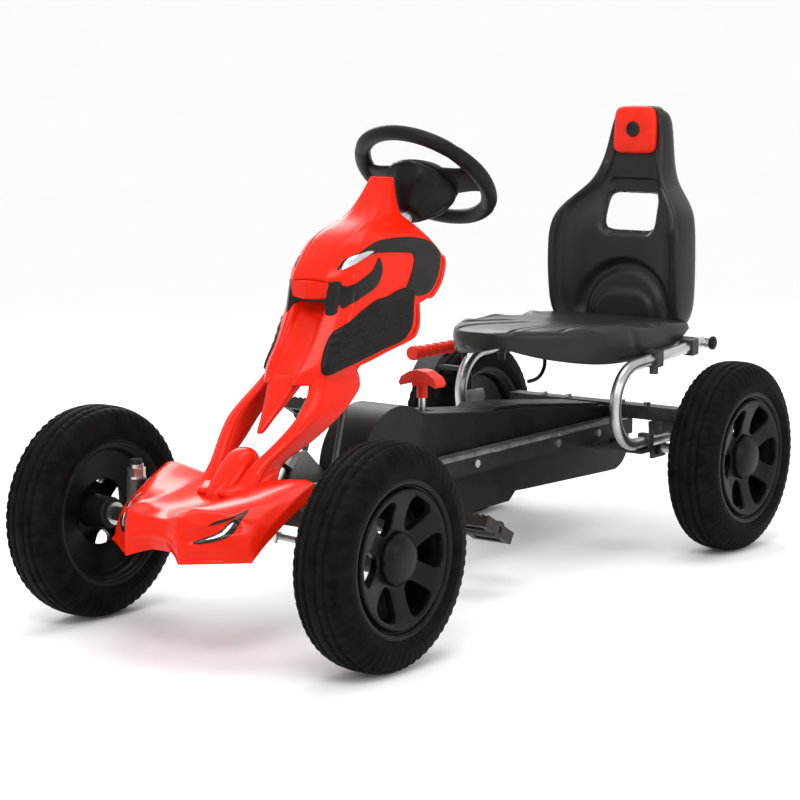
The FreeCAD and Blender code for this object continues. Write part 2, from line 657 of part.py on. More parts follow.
def frame_bushes():
    """Bushes of the crank spindle, the rear axle and the steering column."""
    spindle = ring((RAIL_X0 - 2, RAIL_X1 + 2), CRANK_Y, CRANK_Z, 12, SPINDLE_R + RUN)
    axle = ring((112, 130), WHEELBASE, AXLE_Z, AXLE_R + 5, AXLE_R + RUN)
    pieces = [spindle, mirror(spindle), axle, mirror(axle)]
    for t in (LOWER_BUSH_T, BRACE_TOP_T):
        profile = [(COLUMN_R + RUN, -13), (COLUMN_R + 4, -13), (COLUMN_R + 4, 13), (COLUMN_R + RUN, 13)]
        pieces.append(column_piece(profile, t))
    return Part.makeCompound(pieces)


def rear_axle():
    """Solid axle through the sprocket and both rear hubs."""
    return disc((-WHEEL_X - 21, WHEEL_X + 21), WHEELBASE, AXLE_Z, AXLE_R)


# ---- fairing ----
# Level sections of the cowl: height, front Y, rear Y, front half width, side half width, front chamfer depth.
COWL_LEVELS = [
    (340.0, 104.0, 206.0, 24.0, 52.0, 30.0),
    (358.0, 114.0, 212.0, 27.0, 55.0, 26.0),
    (384.0, 132.0, 338.0, 31.0, 57.0, 24.0),
    (434.0, 158.0, 342.0, 34.0, 57.0, 22.0),
    (437.0, 159.0, 376.0, 34.0, 57.0, 22.0),
    (472.0, 170.0, 404.0, 35.0, 55.0, 20.0),
    (490.0, 178.0, 414.0, 35.0, 53.0, 18.0),
    (521.0, 204.0, 388.0, 35.0, 46.0, 16.0),
    (534.0, 222.0, 374.0, 35.0, 42.0, 12.0),
    (562.0, 284.0, 347.0, 25.0, 28.0, 10.0),
    (607.0, 322.0, 338.0, 20.0, 22.0, 4.0),
]


def cowl_section(level, inset):
    """One level section of the cowl, shrunk by inset."""
    z, front, rear, wf, ws, chamfer = level
    wf = max(wf - inset, 2)
    ws = ws - inset
    front = front + inset
    rear = rear - inset
    half = [(wf, front), (ws, front + chamfer), (ws, rear - 6), (ws - 8, rear)]
    loop = half + [(-x, y) for x, y in reversed(half)]
    return [(x, y, z) for x, y in loop]


def cowl_block(inset, levels):
    """Cowl as stacked ruled blocks."""
    blocks = []
    for low, high in zip(levels, levels[1:]):
        blocks.append(loft([cowl_section(low, inset), cowl_section(high, inset)]))
    return blocks[0].fuse(blocks[1:]).removeSplitter()


# Level sections of a leg: height, front Y, rear Y, inner X, outer X.
LEG_LEVELS = [
    (214.0, -20.0, 46.0, 20.0, 48.0),
    (240.0, 2.0, 50.0, 24.0, 48.0),
    (262.0, 28.0, 100.0, 38.0, 62.0),
    (291.0, 62.0, 142.0, 50.0, 74.0),
    (325.0, 108.0, 204.0, 44.0, 66.0),
    (342.0, 122.0, 212.0, 36.0, 55.0),
]


def leg():
    """Left leg of the fairing, a curved blade from the cowl down to the nose."""
    sections = []
    for z, front, rear, x0, x1 in LEG_LEVELS:
        lip = 8
        sections.append([(x0, front, z), (x1 - lip, front, z), (x1, front + lip, z), (x1, rear - lip, z),
                         (x1 - lip, rear, z), (x0, rear, z)])
    blocks = [loft([a, b]) for a, b in zip(sections, sections[1:])]
    return blocks[0].fuse(blocks[1:])


def tooth():
    """Narrow tongue that hangs between the legs."""
    sections = []
    for z, front, rear, w in ((278.0, 58.0, 66.0, 6.0), (300.0, 74.0, 88.0, 12.0), (341.0, 104.0, 130.0, 24.0)):
        sections.append([(w, front, z), (w, rear, z), (-w, rear, z), (-w, front, z)])
    return loft(sections[:2]).fuse(loft(sections[1:]))


def column_tunnel():
    """Room for the column, its upper bush and the braces inside the cowl."""
    return Part.makeCylinder(24, 420, on_column(200), COLUMN_WAY)


def panel_recess():
    """Side pocket outline that holds the black panel, seen from the side."""
    vent = [(134, 356), (206, 361), (336, 387), (338, 430), (298, 446), (176, 404), (138, 392)]
    hook = [(168, 481), (214, 500), (286, 520), (380, 512), (408, 490), (374, 440), (336, 440), (352, 468),
            (346, 492), (290, 497), (220, 487)]
    swoosh = [(150, 462), (214, 470), (262, 494), (250, 466), (198, 432), (166, 424)]
    return vent, hook, swoosh


def cowl_skin(depth):
    """Outer layer of the cowl, depth thick, that the side panels are let into."""
    core_levels = [(330.0,) + COWL_LEVELS[0][1:]] + COWL_LEVELS[1:-1] + [(615.0,) + COWL_LEVELS[-1][1:]]
    return COWL_OUTER.cut(cowl_block(depth, core_levels))


def side_panel(side, skin, shrink):
    """Pieces of the outer layer inside the three panel outlines of one side."""
    limits = sorted((side * 38.0, side * 90.0))
    pieces = []
    for outline in panel_recess():
        wire = Part.makePolygon([Vector(limits[0], y, z) for y, z in outline + outline[:1]])
        flat = Part.Face(wire)
        if shrink:
            flat = flat.makeOffset2D(-shrink)
        pieces.append(flat.extrude(Vector(limits[1] - limits[0], 0, 0)).common(skin))
    return pieces


COWL_OUTER = cowl_block(0, COWL_LEVELS)


def fairing_cowl():
    """Upper fairing moulding: hollow cowl with its tongue and two legs."""
    inner_levels = [(336.0,) + COWL_LEVELS[0][1:]] + COWL_LEVELS[1:-1]
    shell = COWL_OUTER.cut(cowl_block(SHELL, inner_levels))
    open_back = box((-40, 40), (214, 500), (362, 500))
    shell = shell.cut(open_back)
    legs = leg()
    shell = shell.fuse([legs, mirror(legs), tooth()])
    shell = shell.cut(column_tunnel())
    skin = cowl_skin(2.0)
    for side in (-1, 1):
        for pocket in side_panel(side, skin, 0):
            shell = shell.cut(pocket)
    shell = shell.cut(box((-24, 24), (100, 172), (432, 474)))
    solids = sorted(shell.Solids, key=lambda s: s.Volume)
    return solids[-1].removeSplitter()


def fairing_panels():
    """Black side panels, three pieces on each side, set into the cowl."""
    skin = cowl_skin(1.8)
    pieces = []
    for side in (-1, 1):
        for piece in side_panel(side, skin, 0.4):
            pieces.extend(piece.Solids)
    return Part.makeCompound([p for p in pieces if p.Volume > 20])


def fairing_scoop():
    """Black intake frame under the brow with a sloping visor lip."""
    frame = box((-23.6, 23.6), (150, 172), (432.4, 473.6))
    frame = frame.cut(box((-19, 19), (140, 168), (437, 452)))
    lip = side_plate([(146, 455), (172, 470), (172, 474 - 0.4), (146, 473.6)], (-23.6, 23.6))
    return frame.fuse(lip).removeSplitter()


NOSE_PLAN = [(0, -150), (60, -160), (120, -106), (130, -40), (138, 4), (116, 22), (60, 8), (0, 8)]
NOSE_TOP = (203.0, 0.165)      # height at the nose tip and rise per millimetre rearwards
NOSE_UNDER = (140.0, -106.0, 0.56)


def nose_block(inset):
    """Wedge-shaped nose, shrunk by inset; an inset block also runs out of the open underside."""
    grow = 1 - inset / 70.0
    plan = [(x * grow, -60 + (y + 60) * grow) for x, y in NOSE_PLAN]
    block = plan_plate(both_sides(plan), (100, 260))
    tip, rise = NOSE_TOP
    top = [(-200, tip - inset - 40 * rise), (60, tip - inset + 220 * rise), (60, 300), (-200, 300)]
    block = block.cut(side_plate(top, (-200, 200)))
    low, start, climb = NOSE_UNDER
    if inset == 0:
        under = [(-200, low), (start, low), (60, low + (60 - start) * climb), (60, 60), (-200, 60)]
        block = block.cut(side_plate(under, (-200, 200)))
    return block


def nose():
    """Front bumper moulding: an open wedge with a centre recess and a rear hump."""
    shell = nose_block(0).cut(nose_block(SHELL))
    hump_side = [(-20, 214), (46, 214), (46, 248), (34, 260), (14, 258), (-16, 232)]
    hump = side_plate(hump_side, (-19.7, 19.7))
    shell = shell.fuse(hump)
    for side in (-1, 1):
        shell = shell.cut(headlight_wedge(side, 0.0))
    legs = leg()
    shell = shell.cut(legs).cut(mirror(legs))
    shell = shell.cut(box((-137, 137), (-11.5, 20), (BEAM_Z[0], BEAM_Z[1] + GAP)))
    solids = sorted(shell.Solids, key=lambda s: s.Volume)
    return solids[-1].removeSplitter()


def headlight_wedge(side, inset):
    """Almond-shaped lamp set into the swept front corner."""
    along = Vector(60, 54, 0).normalize()
    out = Vector(54, -60, 0).normalize()
    middle = Vector(92, -131.2, 176)
    outline = [(-30, -8), (-10, -9), (14, 0), (30, 12), (8, 10), (-14, 3)]
    points = [middle + along * (a * (1 - inset / 12)) + Vector(0, 0, b * (1 - inset / 12)) for a, b in outline]
    lamp = Part.Face(Part.makePolygon(points + points[:1])).extrude(out * 6)
    lamp.translate(out * -1.6)
    return lamp if side > 0 else mirror(lamp)


def headlights():
    """Pair of black lamps in the nose."""
    lamps = []
    for side in (-1, 1):
        lamps.extend(headlight_wedge(side, 0.4).common(nose_block(0)).Solids)
    return Part.makeCompound(lamps)


# ---- levers ----
def shift_lever():
    """Stem of the gear lever with its pivot inside the chain case."""
    stem = rod((0, SHIFT_Y, SHIFT_Z), (0, SHIFT_Y, 308), 5)
    hub = disc((-12, 8), SHIFT_Y, SHIFT_Z, 8)
    pin = disc((-33, 8), SHIFT_Y, SHIFT_Z, 4)
    return stem.fuse([hub, pin]).removeSplitter()


def shift_knob():
    """Arched T handle on the gear lever."""
    arch = [(0, 298), (10, 298), (12, 306), (32, 297), (35, 302), (30, 311), (14, 320), (0, 322)]
    bar = front_plate(both_sides(arch), (SHIFT_Y - 12, SHIFT_Y + 12))
    neck = rod((0, SHIFT_Y, 280), (0, SHIFT_Y, 310), 8)
    body = bar.fuse(neck)
    return body.cut(rod((0, SHIFT_Y, 270), (0, SHIFT_Y, 308), 5)).removeSplitter()


GRIP_Y = (640.0, 756.0)
GRIP_Z = 310.0


SHOE_GAP = 6.0
SHOE_DEPTH = 15.0
SHOE_REACH = (WHEEL_R + SHOE_GAP + SHOE_DEPTH / 2) * math.sqrt(0.5)
SHOE_Y = WHEELBASE - SHOE_REACH
SHOE_Z = AXLE_Z + SHOE_REACH


def brake_lever():
    """Bent bar from the grip down to the pivot tube, with an arm that carries the shoe."""
    route = [(BRAKE_X, GRIP_Y[0] + 6, GRIP_Z), (BRAKE_X, GRIP_Y[1] + 20, GRIP_Z), (BRAKE_X, BRAKE_Y, BRAKE_Z)]
    bar = bent_bar(route, [24], 5)
    hub = ring((BRAKE_X - 10, BRAKE_X + 8), BRAKE_Y, BRAKE_Z, 11, 5 + RUN)
    arm = bent_bar([(BRAKE_X, BRAKE_Y + 3, BRAKE_Z + 9), (BRAKE_X, SHOE_Y, SHOE_Z), (-264, SHOE_Y, SHOE_Z)], [12], 5)
    body = bar.cut(disc((BRAKE_X - 12, BRAKE_X + 12), BRAKE_Y, BRAKE_Z, 6))
    body = body.fuse([hub, arm])
    body = body.cut(disc((BRAKE_X - 12, BRAKE_X + 12), BRAKE_Y, BRAKE_Z, 5 + RUN))
    return body.removeSplitter()


def brake_grip():
    """Ribbed grip with a flange at its front end."""
    y0, y1 = GRIP_Y
    profile = [(5, 0), (9, 0), (9, 116), (5, 116)]
    sleeve = turned(profile, (BRAKE_X, y0, GRIP_Z), (0, 1, 0))
    end = turned([(0, -4), (11, -4), (12, 0), (12, 5), (5, 5), (5, 6), (0, 6)], (BRAKE_X, y0, GRIP_Z), (0, 1, 0))
    body = sleeve.fuse(end)
    for k in range(5):
        rib = turned([(9, 0), (10.5, 1.5), (10.5, 6), (9, 7.5)], (BRAKE_X, y0 + 16 + 20 * k, GRIP_Z), (0, 1, 0))
        body = body.fuse(rib)
    return body.cut(rod((BRAKE_X, y0 + 6, GRIP_Z), (BRAKE_X, y1 + 1, GRIP_Z), 5)).removeSplitter()


def brake_shoe():
    """Rubber block that presses on the front of the right rear tyre."""
    inner = WHEEL_R + SHOE_GAP
    block = ring((-276, -234), WHEELBASE, AXLE_Z, inner + SHOE_DEPTH, inner)
    wedge = [(WHEELBASE, AXLE_Z), (WHEELBASE - 150, AXLE_Z + 116), (WHEELBASE - 116, AXLE_Z + 150)]
    block = block.common(side_plate(wedge, (-300, -200)))
    return block.cut(disc((-264, -200), SHOE_Y, SHOE_Z, 5))


# ---- seat ----
def tilt(y, z):
    """Height of the seat's lower plane, which lies along the seat tubes."""
    return z + (y - BAR_Y) * math.tan(SEAT_SLOPE)


SEAT_PLAN = [(0, 548), (30, 556), (57, 600), (98, 655), (126, 715), (136, 780), (138, 880), (134, 960), (126, 1006), (0, 1006)]
# Level sections of the back: height, half width, Y of the rim, Y behind, depth of the hollow in front.
BACK_LEVELS = [
    (330.0, 122.0, 962.0, 1012.0, 40.0),
    (380.0, 125.0, 955.0, 1010.0, 42.0),
    (460.0, 126.0, 950.0, 1008.0, 44.0),
    (505.0, 123.0, 957.0, 1016.0, 44.0),
    (522.0, 117.0, 964.0, 1022.0, 42.0),
    (545.0, 96.0, 981.0, 1038.0, 36.0),
    (568.0, 72.0, 999.0, 1052.0, 26.0),
    (610.0, 57.0, 1016.0, 1064.0, 6.0),
    (652.0, 50.0, 1027.0, SEAT_REACH, 0.0),
    (684.0, 43.0, 1030.0, SEAT_REACH - 2, 0.0),
    (694.0, 37.0, 1038.0, SEAT_REACH - 8, 0.0),
]
BACK_LIP = 14.0


def back_section(level):
    """Outer section of the back at one height."""
    z, half, rim, rear, hollow = level
    side = [(half - 6, rim), (half, rim + 6), (half + 6, rear - 16), (half - 8, rear)]
    return [(x, y, z) for x, y in side] + [(-x, y, z) for x, y in reversed(side)]


def back_hollow_section(level):
    """Section of the hollow in front of the back at one height."""
    z, half, rim, rear, hollow = level
    side = [(half - BACK_LIP + 4, rim - 5), (half - BACK_LIP - 8, rim + hollow)]
    return [(x, y, z) for x, y in side] + [(-x, y, z) for x, y in reversed(side)]


def stacked(sections):
    """Ruled blocks between successive sections, joined."""
    blocks = [loft([a, b]) for a, b in zip(sections, sections[1:])]
    return blocks[0].fuse(blocks[1:]).removeSplitter()


def seat_shell():
    """Moulded bucket seat: spade-shaped base, hip bolsters and a tall back with a hand hole."""
    under = BAR_Z + SEAT_TUBE_R + STRAP_TOP
    plate = plan_plate(both_sides(SEAT_PLAN), (280, 362))
    cushion_plan = [(x * 0.86, 566 + (y - 548) * 0.95) for x, y in SEAT_PLAN]
    cushion = plan_plate(both_sides(cushion_plan), (355, 372))
    below = side_plate([(500, tilt(500, under) + 18), (640, tilt(640, under) + 14), (800, tilt(800, under)),
                        (1060, tilt(1060, under)), (1060, 200), (500, 200)], (-200, 200))
    base = plate.fuse(cushion).cut(below)
    back = stacked([back_section(level) for level in BACK_LEVELS]).cut(below)
    hollow = stacked([back_hollow_section(level) for level in BACK_LEVELS[:8]])
    back = back.cut(hollow.cut(box((-200, 200), (900, 1100), (300, 372))))
    body = base.fuse(back)
    bolster = loft([[(106, 900, 358), (135, 900, 358), (135, 900, 366), (114, 900, 366)],
                    [(106, 962, 358), (131, 962, 358), (130, 962, 420), (118, 962, 420)]])
    body = body.fuse([bolster, mirror(bolster)])
    hole = [(0, 486), (36, 486), (42, 498), (38, 530), (28, 544), (0, 544)]
    body = body.cut(front_plate(both_sides(hole), (900, 1100)))
    under_plan = [(x * 0.93, 560 + (y - 560) * 0.93 + 10) for x, y in SEAT_PLAN[:-2]] + [(118, 985), (0, 985)]
    body = body.cut(plan_plate(both_sides(under_plan), (280, 350)))
    return body.cut(headrest_block(0.4)).removeSplitter()


PAD_LEAN = -4.0              # degrees that the headrest leans back


def headrest_block(grow):
    """Outline of the headrest pad, made larger by grow to cut its place in the back."""
    outline = [(0, 617), (36, 617), (39, 642), (37, 676), (30, 698), (0, 698)]
    outline = [(x + grow if x else 0, z + (grow if z > 660 else -grow)) for x, z in outline]
    pad = front_plate(both_sides(outline), (1008, 1036 + grow))
    pad.rotate(Vector(0, 1020, 616), Vector(1, 0, 0), PAD_LEAN)
    return pad


def headrest_pad():
    """Red cushion at the top of the backrest."""
    return headrest_block(0).cut(headrest_button())


def headrest_button():
    """Round stud that holds the headrest pad."""
    stud = turned([(0, -12), (10, -12), (10, 1), (8, 3), (0, 4)], (0, 1008, 660), (0, -1, 0))
    stud.rotate(Vector(0, 1020, 616), Vector(1, 0, 0), PAD_LEAN)
    return stud


STRAP_TOP = 3.2              # seat strap above the top of the seat tubes


def sloped_block(x, y, low, high):
    """Block whose top and bottom follow the seat tubes; low and high count from the tube's centre."""
    outline = [(y[0], tilt(y[0], BAR_Z + low)), (y[1], tilt(y[1], BAR_Z + low)),
               (y[1], tilt(y[1], BAR_Z + high)), (y[0], tilt(y[0], BAR_Z + high))]
    return side_plate(outline, x)


def seat_clamps():
    """Two flat straps under the seat, each with a saddle around both seat tubes and a hand knob."""
    pieces = []
    for y in (850.0, 960.0):
        strap = sloped_block((-158, 158), (y - 11, y + 11), SEAT_TUBE_R + GAP, SEAT_TUBE_R + STRAP_TOP)
        for side in (-1, 1):
            x = side * SEAT_TUBE_X
            saddle = sloped_block((x - 12.5, x + 12.5), (y - 9, y + 9), -12.5, SEAT_TUBE_R + STRAP_TOP)
            run = (y - BAR_Y - 40, y - BAR_Y + 40)
            ends = [(x, BAR_Y + r, BAR_Z + r * math.tan(SEAT_SLOPE)) for r in run]
            strap = strap.fuse(saddle).cut(rod(ends[0], ends[1], SEAT_TUBE_R + GAP))
        pieces.append(strap.removeSplitter())
    for side in (-1, 1):
        x = side * SEAT_TUBE_X
        low = tilt(850, BAR_Z) - 12.5
        pieces.append(rod((x, 850, low - 1), (x, 850, low - 12), 7))
    return Part.makeCompound(pieces)


# ---- fasteners of the frame ----
def bolt_head(x, y, z, way):
    """Hexagon head that stands on a face and points along way."""
    points = [(6.5 * math.cos(math.radians(60 * k)), 6.5 * math.sin(math.radians(60 * k))) for k in range(6)]
    head = plan_plate(points, (0, 5))
    head.Placement = Placement(Vector(x, y, z), Rotation(Vector(0, 0, 1), Vector(*way)))
    return head


def fasteners():
    """Bolt heads on the rails, the column support and the rear beam, and the brake's pivot bolt."""
    pieces = []
    for side in (-1, 1):
        for y in (60.0, 480.0, 700.0, 817.0):
            pieces.append(bolt_head(side * RAIL_X1, y, 180, (side, 0, 0)))
        for y in (120.0, 170.0):
            pieces.append(bolt_head(side * 52, y, RAIL_Z1 + 4, (0, 0, 1)))
        pieces.append(bolt_head(side * 52, WHEELBASE, RAIL_Z1 + 22, (0, 0, 1)))
        pieces.append(bolt_head(side * 100, WHEELBASE, RAIL_Z1 + 22, (0, 0, 1)))
    pin = disc((BRAKE_X - 14, BRAKE_PLATE_X[0]), BRAKE_Y, BRAKE_Z, 5)
    head = disc((BRAKE_X - 19, BRAKE_X - 14), BRAKE_Y, BRAKE_Z, 9)
    pieces.append(pin.fuse(head).removeSplitter())
    return Part.makeCompound(pieces)


# ---- write everything ----
def save_pair(name, left):
    """Write a left-hand piece and its mirror image."""
    save(name + "_left", left)
    save(name + "_right", mirror(left))


def main():
    os.makedirs("parts", exist_ok=True)
    save_wheels()
    save("front_axle_beam", front_axle_beam())
    save_pair("knuckle", knuckle())
    save_pair("kingpin_nut", kingpin_nut())
    save_pair("tie_rod", tie_rod())
    save("steering_column", steering_column())
    save("steering_wheel", steering_wheel())
    save("steering_wheel_cover", steering_wheel_cover())
    save_pair("frame_rail", frame_rail())
    save("column_support", column_support())
    save("rear_cross_beam", rear_cross_beam())
    save("seat_frame_beam", seat_frame_beam())
    save("seat_tube_left", seat_tube(SEAT_TUBE_X))
    save("seat_tube_right", seat_tube(-SEAT_TUBE_X).fuse(brake_plate()).removeSplitter())
    save("seat_cross_bar", seat_cross_bar())
    save("cross_bar_caps", cross_bar_caps())
    save("frame_bushes", frame_bushes())
    save("chain_case_left", chain_case(1))
    save("chain_case_right", chain_case(-1))
    save("chain_case_lid", chain_case_lid())
    save("drive_chain", drive_chain())
    save("chainring", chainring())
    save("rear_sprocket", rear_sprocket())
    save("rear_axle", rear_axle())
    save("crank", crank())
    save("pedal_left", pedal(1))
    save("pedal_right", pedal(-1))
    save("fairing_cowl", fairing_cowl())
    save("fairing_panels", fairing_panels())
    save("fairing_scoop", fairing_scoop())
    save("nose", nose())
    save("headlights", headlights())
    save("shift_lever", shift_lever())
    save("shift_knob", shift_knob())
    save("brake_lever", brake_lever())
    save("brake_grip", brake_grip())
    save("brake_shoe", brake_shoe())
    save("seat_shell", seat_shell())
    save("headrest_pad", headrest_pad())
    save("headrest_button", headrest_button())
    save("seat_clamps", seat_clamps())
    save("fasteners", fasteners())


main()
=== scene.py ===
import json
import math
import bpy
import bmesh
from mathutils import Vector, Matrix, bvhtree
from mathutils.geometry import delaunay_2d_cdt


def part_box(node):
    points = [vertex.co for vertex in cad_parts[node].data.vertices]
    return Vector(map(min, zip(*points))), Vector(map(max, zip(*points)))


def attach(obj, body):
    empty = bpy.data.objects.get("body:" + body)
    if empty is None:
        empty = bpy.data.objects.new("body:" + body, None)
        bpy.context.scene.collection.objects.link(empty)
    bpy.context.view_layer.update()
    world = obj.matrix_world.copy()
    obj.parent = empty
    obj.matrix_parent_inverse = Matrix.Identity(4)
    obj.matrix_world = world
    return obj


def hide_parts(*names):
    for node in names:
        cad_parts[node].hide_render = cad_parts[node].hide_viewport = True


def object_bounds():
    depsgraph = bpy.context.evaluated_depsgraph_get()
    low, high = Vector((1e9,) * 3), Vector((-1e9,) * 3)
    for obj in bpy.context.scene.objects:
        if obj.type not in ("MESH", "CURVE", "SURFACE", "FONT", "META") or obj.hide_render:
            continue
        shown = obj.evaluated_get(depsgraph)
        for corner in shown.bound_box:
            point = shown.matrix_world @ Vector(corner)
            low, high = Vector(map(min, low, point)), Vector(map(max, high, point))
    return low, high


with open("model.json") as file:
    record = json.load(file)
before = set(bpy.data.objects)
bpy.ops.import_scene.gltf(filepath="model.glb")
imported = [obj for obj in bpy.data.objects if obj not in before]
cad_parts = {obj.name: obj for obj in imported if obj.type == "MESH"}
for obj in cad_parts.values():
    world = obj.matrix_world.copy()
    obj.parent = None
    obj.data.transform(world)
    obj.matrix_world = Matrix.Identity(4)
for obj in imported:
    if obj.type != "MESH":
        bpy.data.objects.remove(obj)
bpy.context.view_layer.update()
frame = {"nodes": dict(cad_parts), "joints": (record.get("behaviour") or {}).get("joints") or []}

MM = 0.001
tyre_lo, tyre_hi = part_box("tyre_front_left")
FRONT_Y = (tyre_lo.y + tyre_hi.y) / 2        # the front axle, from which every Y below is counted


def pt(x, y, z):
    """Point in the row frame from millimetres measured at the front axle and the ground."""
    return Vector((x * MM, FRONT_Y + y * MM, z * MM))


# ---- materials
def fill_node(tree, node, inputs):
    """Set or link the inputs of a node."""
    for key, value in inputs.items():
        if isinstance(value, bpy.types.NodeSocket):
            tree.links.new(value, node.inputs[key])
        else:
            node.inputs[key].default_value = value


def add_node(tree, kind, inputs=None):
    node = tree.nodes.new("ShaderNode" + kind)
    fill_node(tree, node, inputs or {})
    return node


def material(name, color, rough, metallic=0.0, coat=0.0, coat_rough=0.1, variation=0.12, scale=60.0,
             bump=0.15, bump_scale=900.0, bump_depth=0.0002, wear=None, rough_span=0.12, specular=0.5, dust=None):
    """Procedural surface: mottled colour, mixed roughness, fine bump, lighter worn edges and settled dust."""
    mat = bpy.data.materials.new(name)
    mat.use_nodes = True
    tree = mat.node_tree
    shader = tree.nodes["Principled BSDF"]
    values = {"Metallic": metallic, "Coat Weight": coat, "Coat Roughness": coat_rough, "Specular IOR Level": specular,
              "Specular Tint": (1.0, 0.94, 0.87, 1)}
    for key, value in values.items():
        shader.inputs[key].default_value = value
    coord = add_node(tree, "TexCoord")
    cloud = add_node(tree, "TexNoise", {"Scale": scale, "Detail": 6, "Vector": coord.outputs["Object"]})
    ramp = add_node(tree, "ValToRGB", {"Fac": cloud.outputs["Fac"]})
    dark, light = ramp.color_ramp.elements
    dark.position, light.position = 0.3, 0.72
    dark.color = (*[c * (1 - variation) for c in color], 1)
    light.color = (*[min(c * (1 + variation) + variation * 0.01, 1) for c in color], 1)

    def laid_over(below, source, start, end, share, tint):
        """Tint mixed over the colour below where the source lies between start and end, broken by the cloud."""
        amount = add_node(tree, "MapRange", {"From Min": start, "From Max": end, "To Max": share, "Value": source})
        broken = add_node(tree, "Math", {0: amount.outputs["Result"], 1: cloud.outputs["Fac"]})
        broken.operation = "MULTIPLY"
        mix = tree.nodes.new("ShaderNodeMix")
        mix.data_type = "RGBA"
        fill_node(tree, mix, {"Factor": broken.outputs[0], "A": below, "B": (*tint, 1)})
        return mix.outputs["Result"]

    surface = ramp.outputs["Color"]
    geometry = add_node(tree, "NewGeometry")
    if wear:
        surface = laid_over(surface, geometry.outputs["Pointiness"], 0.52, 0.62, 1.0, wear)
    if dust:
        split = add_node(tree, "SeparateXYZ", {"Vector": geometry.outputs["Normal"]})
        surface = laid_over(surface, split.outputs["Z"], 0.2, 1.0, 0.35, dust)
    fine = add_node(tree, "TexNoise", {"Scale": bump_scale, "Detail": 4, "Vector": coord.outputs["Object"]})
    span = add_node(tree, "MapRange", {"To Min": max(rough - rough_span, 0.02), "To Max": min(rough + rough_span, 1),
                                       "Value": cloud.outputs["Fac"]})
    relief = add_node(tree, "Bump", {"Strength": bump, "Distance": bump_depth, "Height": fine.outputs["Fac"]})
    fill_node(tree, shader, {"Base Color": surface, "Roughness": span.outputs["Result"],
                             "Normal": relief.outputs["Normal"]})
    return mat


def add_pattern(mat, kind, scale, strength, depth, stretch=(1, 1, 1)):
    """Second layer of relief under the fine bump: brushed lines or moulded grain."""
    tree = mat.node_tree
    relief = [n for n in tree.nodes if n.type == "BUMP"][0]
    coord = [n for n in tree.nodes if n.type == "TEX_COORD"][0]
    mapping = add_node(tree, "Mapping", {"Scale": stretch, "Vector": coord.outputs["Object"]})
    if kind == "grain":
        tex = add_node(tree, "TexVoronoi")
        tex.feature = "SMOOTH_F1"
        out = tex.outputs["Distance"]
    else:
        tex = add_node(tree, "TexNoise")
        out = tex.outputs["Fac"]
    fill_node(tree, tex, {"Scale": scale, "Vector": mapping.outputs["Vector"]})
    layer = add_node(tree, "Bump", {"Strength": strength, "Distance": depth, "Height": out})
    fill_node(tree, relief, {"Normal": layer.outputs["Normal"]})
    return mat


RED = material("red_moulding", (0.71, 0.0135, 0.0025), 0.26, coat=0.13, coat_rough=0.07, variation=0.06, scale=22,
    bump=0.08, bump_scale=420, bump_depth=0.0003, rough_span=0.06, wear=(0.78, 0.04, 0.015), specular=0.10)
RED_SOFT = material("red_grip", (0.70, 0.018, 0.006), 0.42, coat=0.02, variation=0.1, scale=60, bump=0.25,
    bump_scale=1500, wear=(0.78, 0.06, 0.035), specular=0.18)
BLACK_GLOSS = material("black_gloss", (0.0075, 0.0068, 0.006), 0.22, coat=0.12, variation=0.25, scale=40, bump=0.08,
    bump_scale=600, rough_span=0.06, wear=(0.026, 0.026, 0.025), specular=0.16)
BLACK_SATIN = material("black_satin", (0.0064, 0.0056, 0.0048), 0.40, variation=0.3, scale=35, bump=0.22,
    bump_scale=1600, wear=(0.024, 0.022, 0.020), dust=(0.017, 0.0155, 0.0135), specular=0.13)
SEAT = add_pattern(material("seat_plastic", (0.0125, 0.0113, 0.0100), 0.36, variation=0.18, scale=14, bump=0.3,
    bump_scale=2200, wear=(0.045, 0.043, 0.040), dust=(0.050, 0.049, 0.044), specular=0.26), "grain", 620, 0.22,
    0.0004)
TYRE = add_pattern(material("tyre_rubber", (0.0036, 0.0031, 0.0026), 0.62, variation=0.35, scale=48, bump=0.4,
    bump_scale=1300, bump_depth=0.0004, wear=(0.018, 0.0165, 0.0145), dust=(0.010, 0.0091, 0.0080), specular=0.035),
    "grain", 300, 0.12, 0.0006)
RIM = material("rim_plastic", (0.0038, 0.0034, 0.0029), 0.32, coat=0.03, variation=0.3, scale=30, bump=0.15,
    bump_scale=1100, wear=(0.014, 0.013, 0.0115), specular=0.09)
PAINT = add_pattern(material("black_paint", (0.011, 0.0102, 0.0092), 0.36, coat=0.04, variation=0.3, scale=45,
    bump=0.2, bump_scale=800, wear=(0.10, 0.096, 0.09), dust=(0.034, 0.032, 0.029), specular=0.15), "grain", 420,
    0.10, 0.0003)
SILVER = add_pattern(material("silver_tube", (0.46, 0.46, 0.455), 0.30, metallic=1.0, variation=0.16, scale=28,
    bump=0.12, bump_scale=700, rough_span=0.1, wear=(0.75, 0.75, 0.74)), "lines", 260, 0.18, 0.0002, (1, 0.08, 1))
STEEL = add_pattern(material("zinc_steel", (0.55, 0.545, 0.53), 0.32, metallic=1.0, variation=0.2, scale=70, bump=0.2,
    bump_scale=900, wear=(0.8, 0.8, 0.78)), "lines", 500, 0.2, 0.0002, (0.15, 1, 1))
GREY_PLATE = material("grey_plate", (0.075, 0.078, 0.074), 0.36, metallic=0.7, variation=0.3, scale=30, bump=0.2,
    bump_scale=700, wear=(0.3, 0.3, 0.29))
# Grey metal of the strips laid along the rails: a painted highlight for the lit top faces of the black rails.
RAIL_HIGHLIGHT_GREY = material("rail_painted_highlight", (0.20, 0.197, 0.185), 0.42, metallic=0.8, variation=0.35, scale=60, bump=0.25,
    bump_scale=900, wear=(0.42, 0.41, 0.39))
CHAIN = material("oiled_steel", (0.16, 0.145, 0.12), 0.38, metallic=0.9, variation=0.4, scale=150, bump=0.3,
    wear=(0.4, 0.38, 0.34))
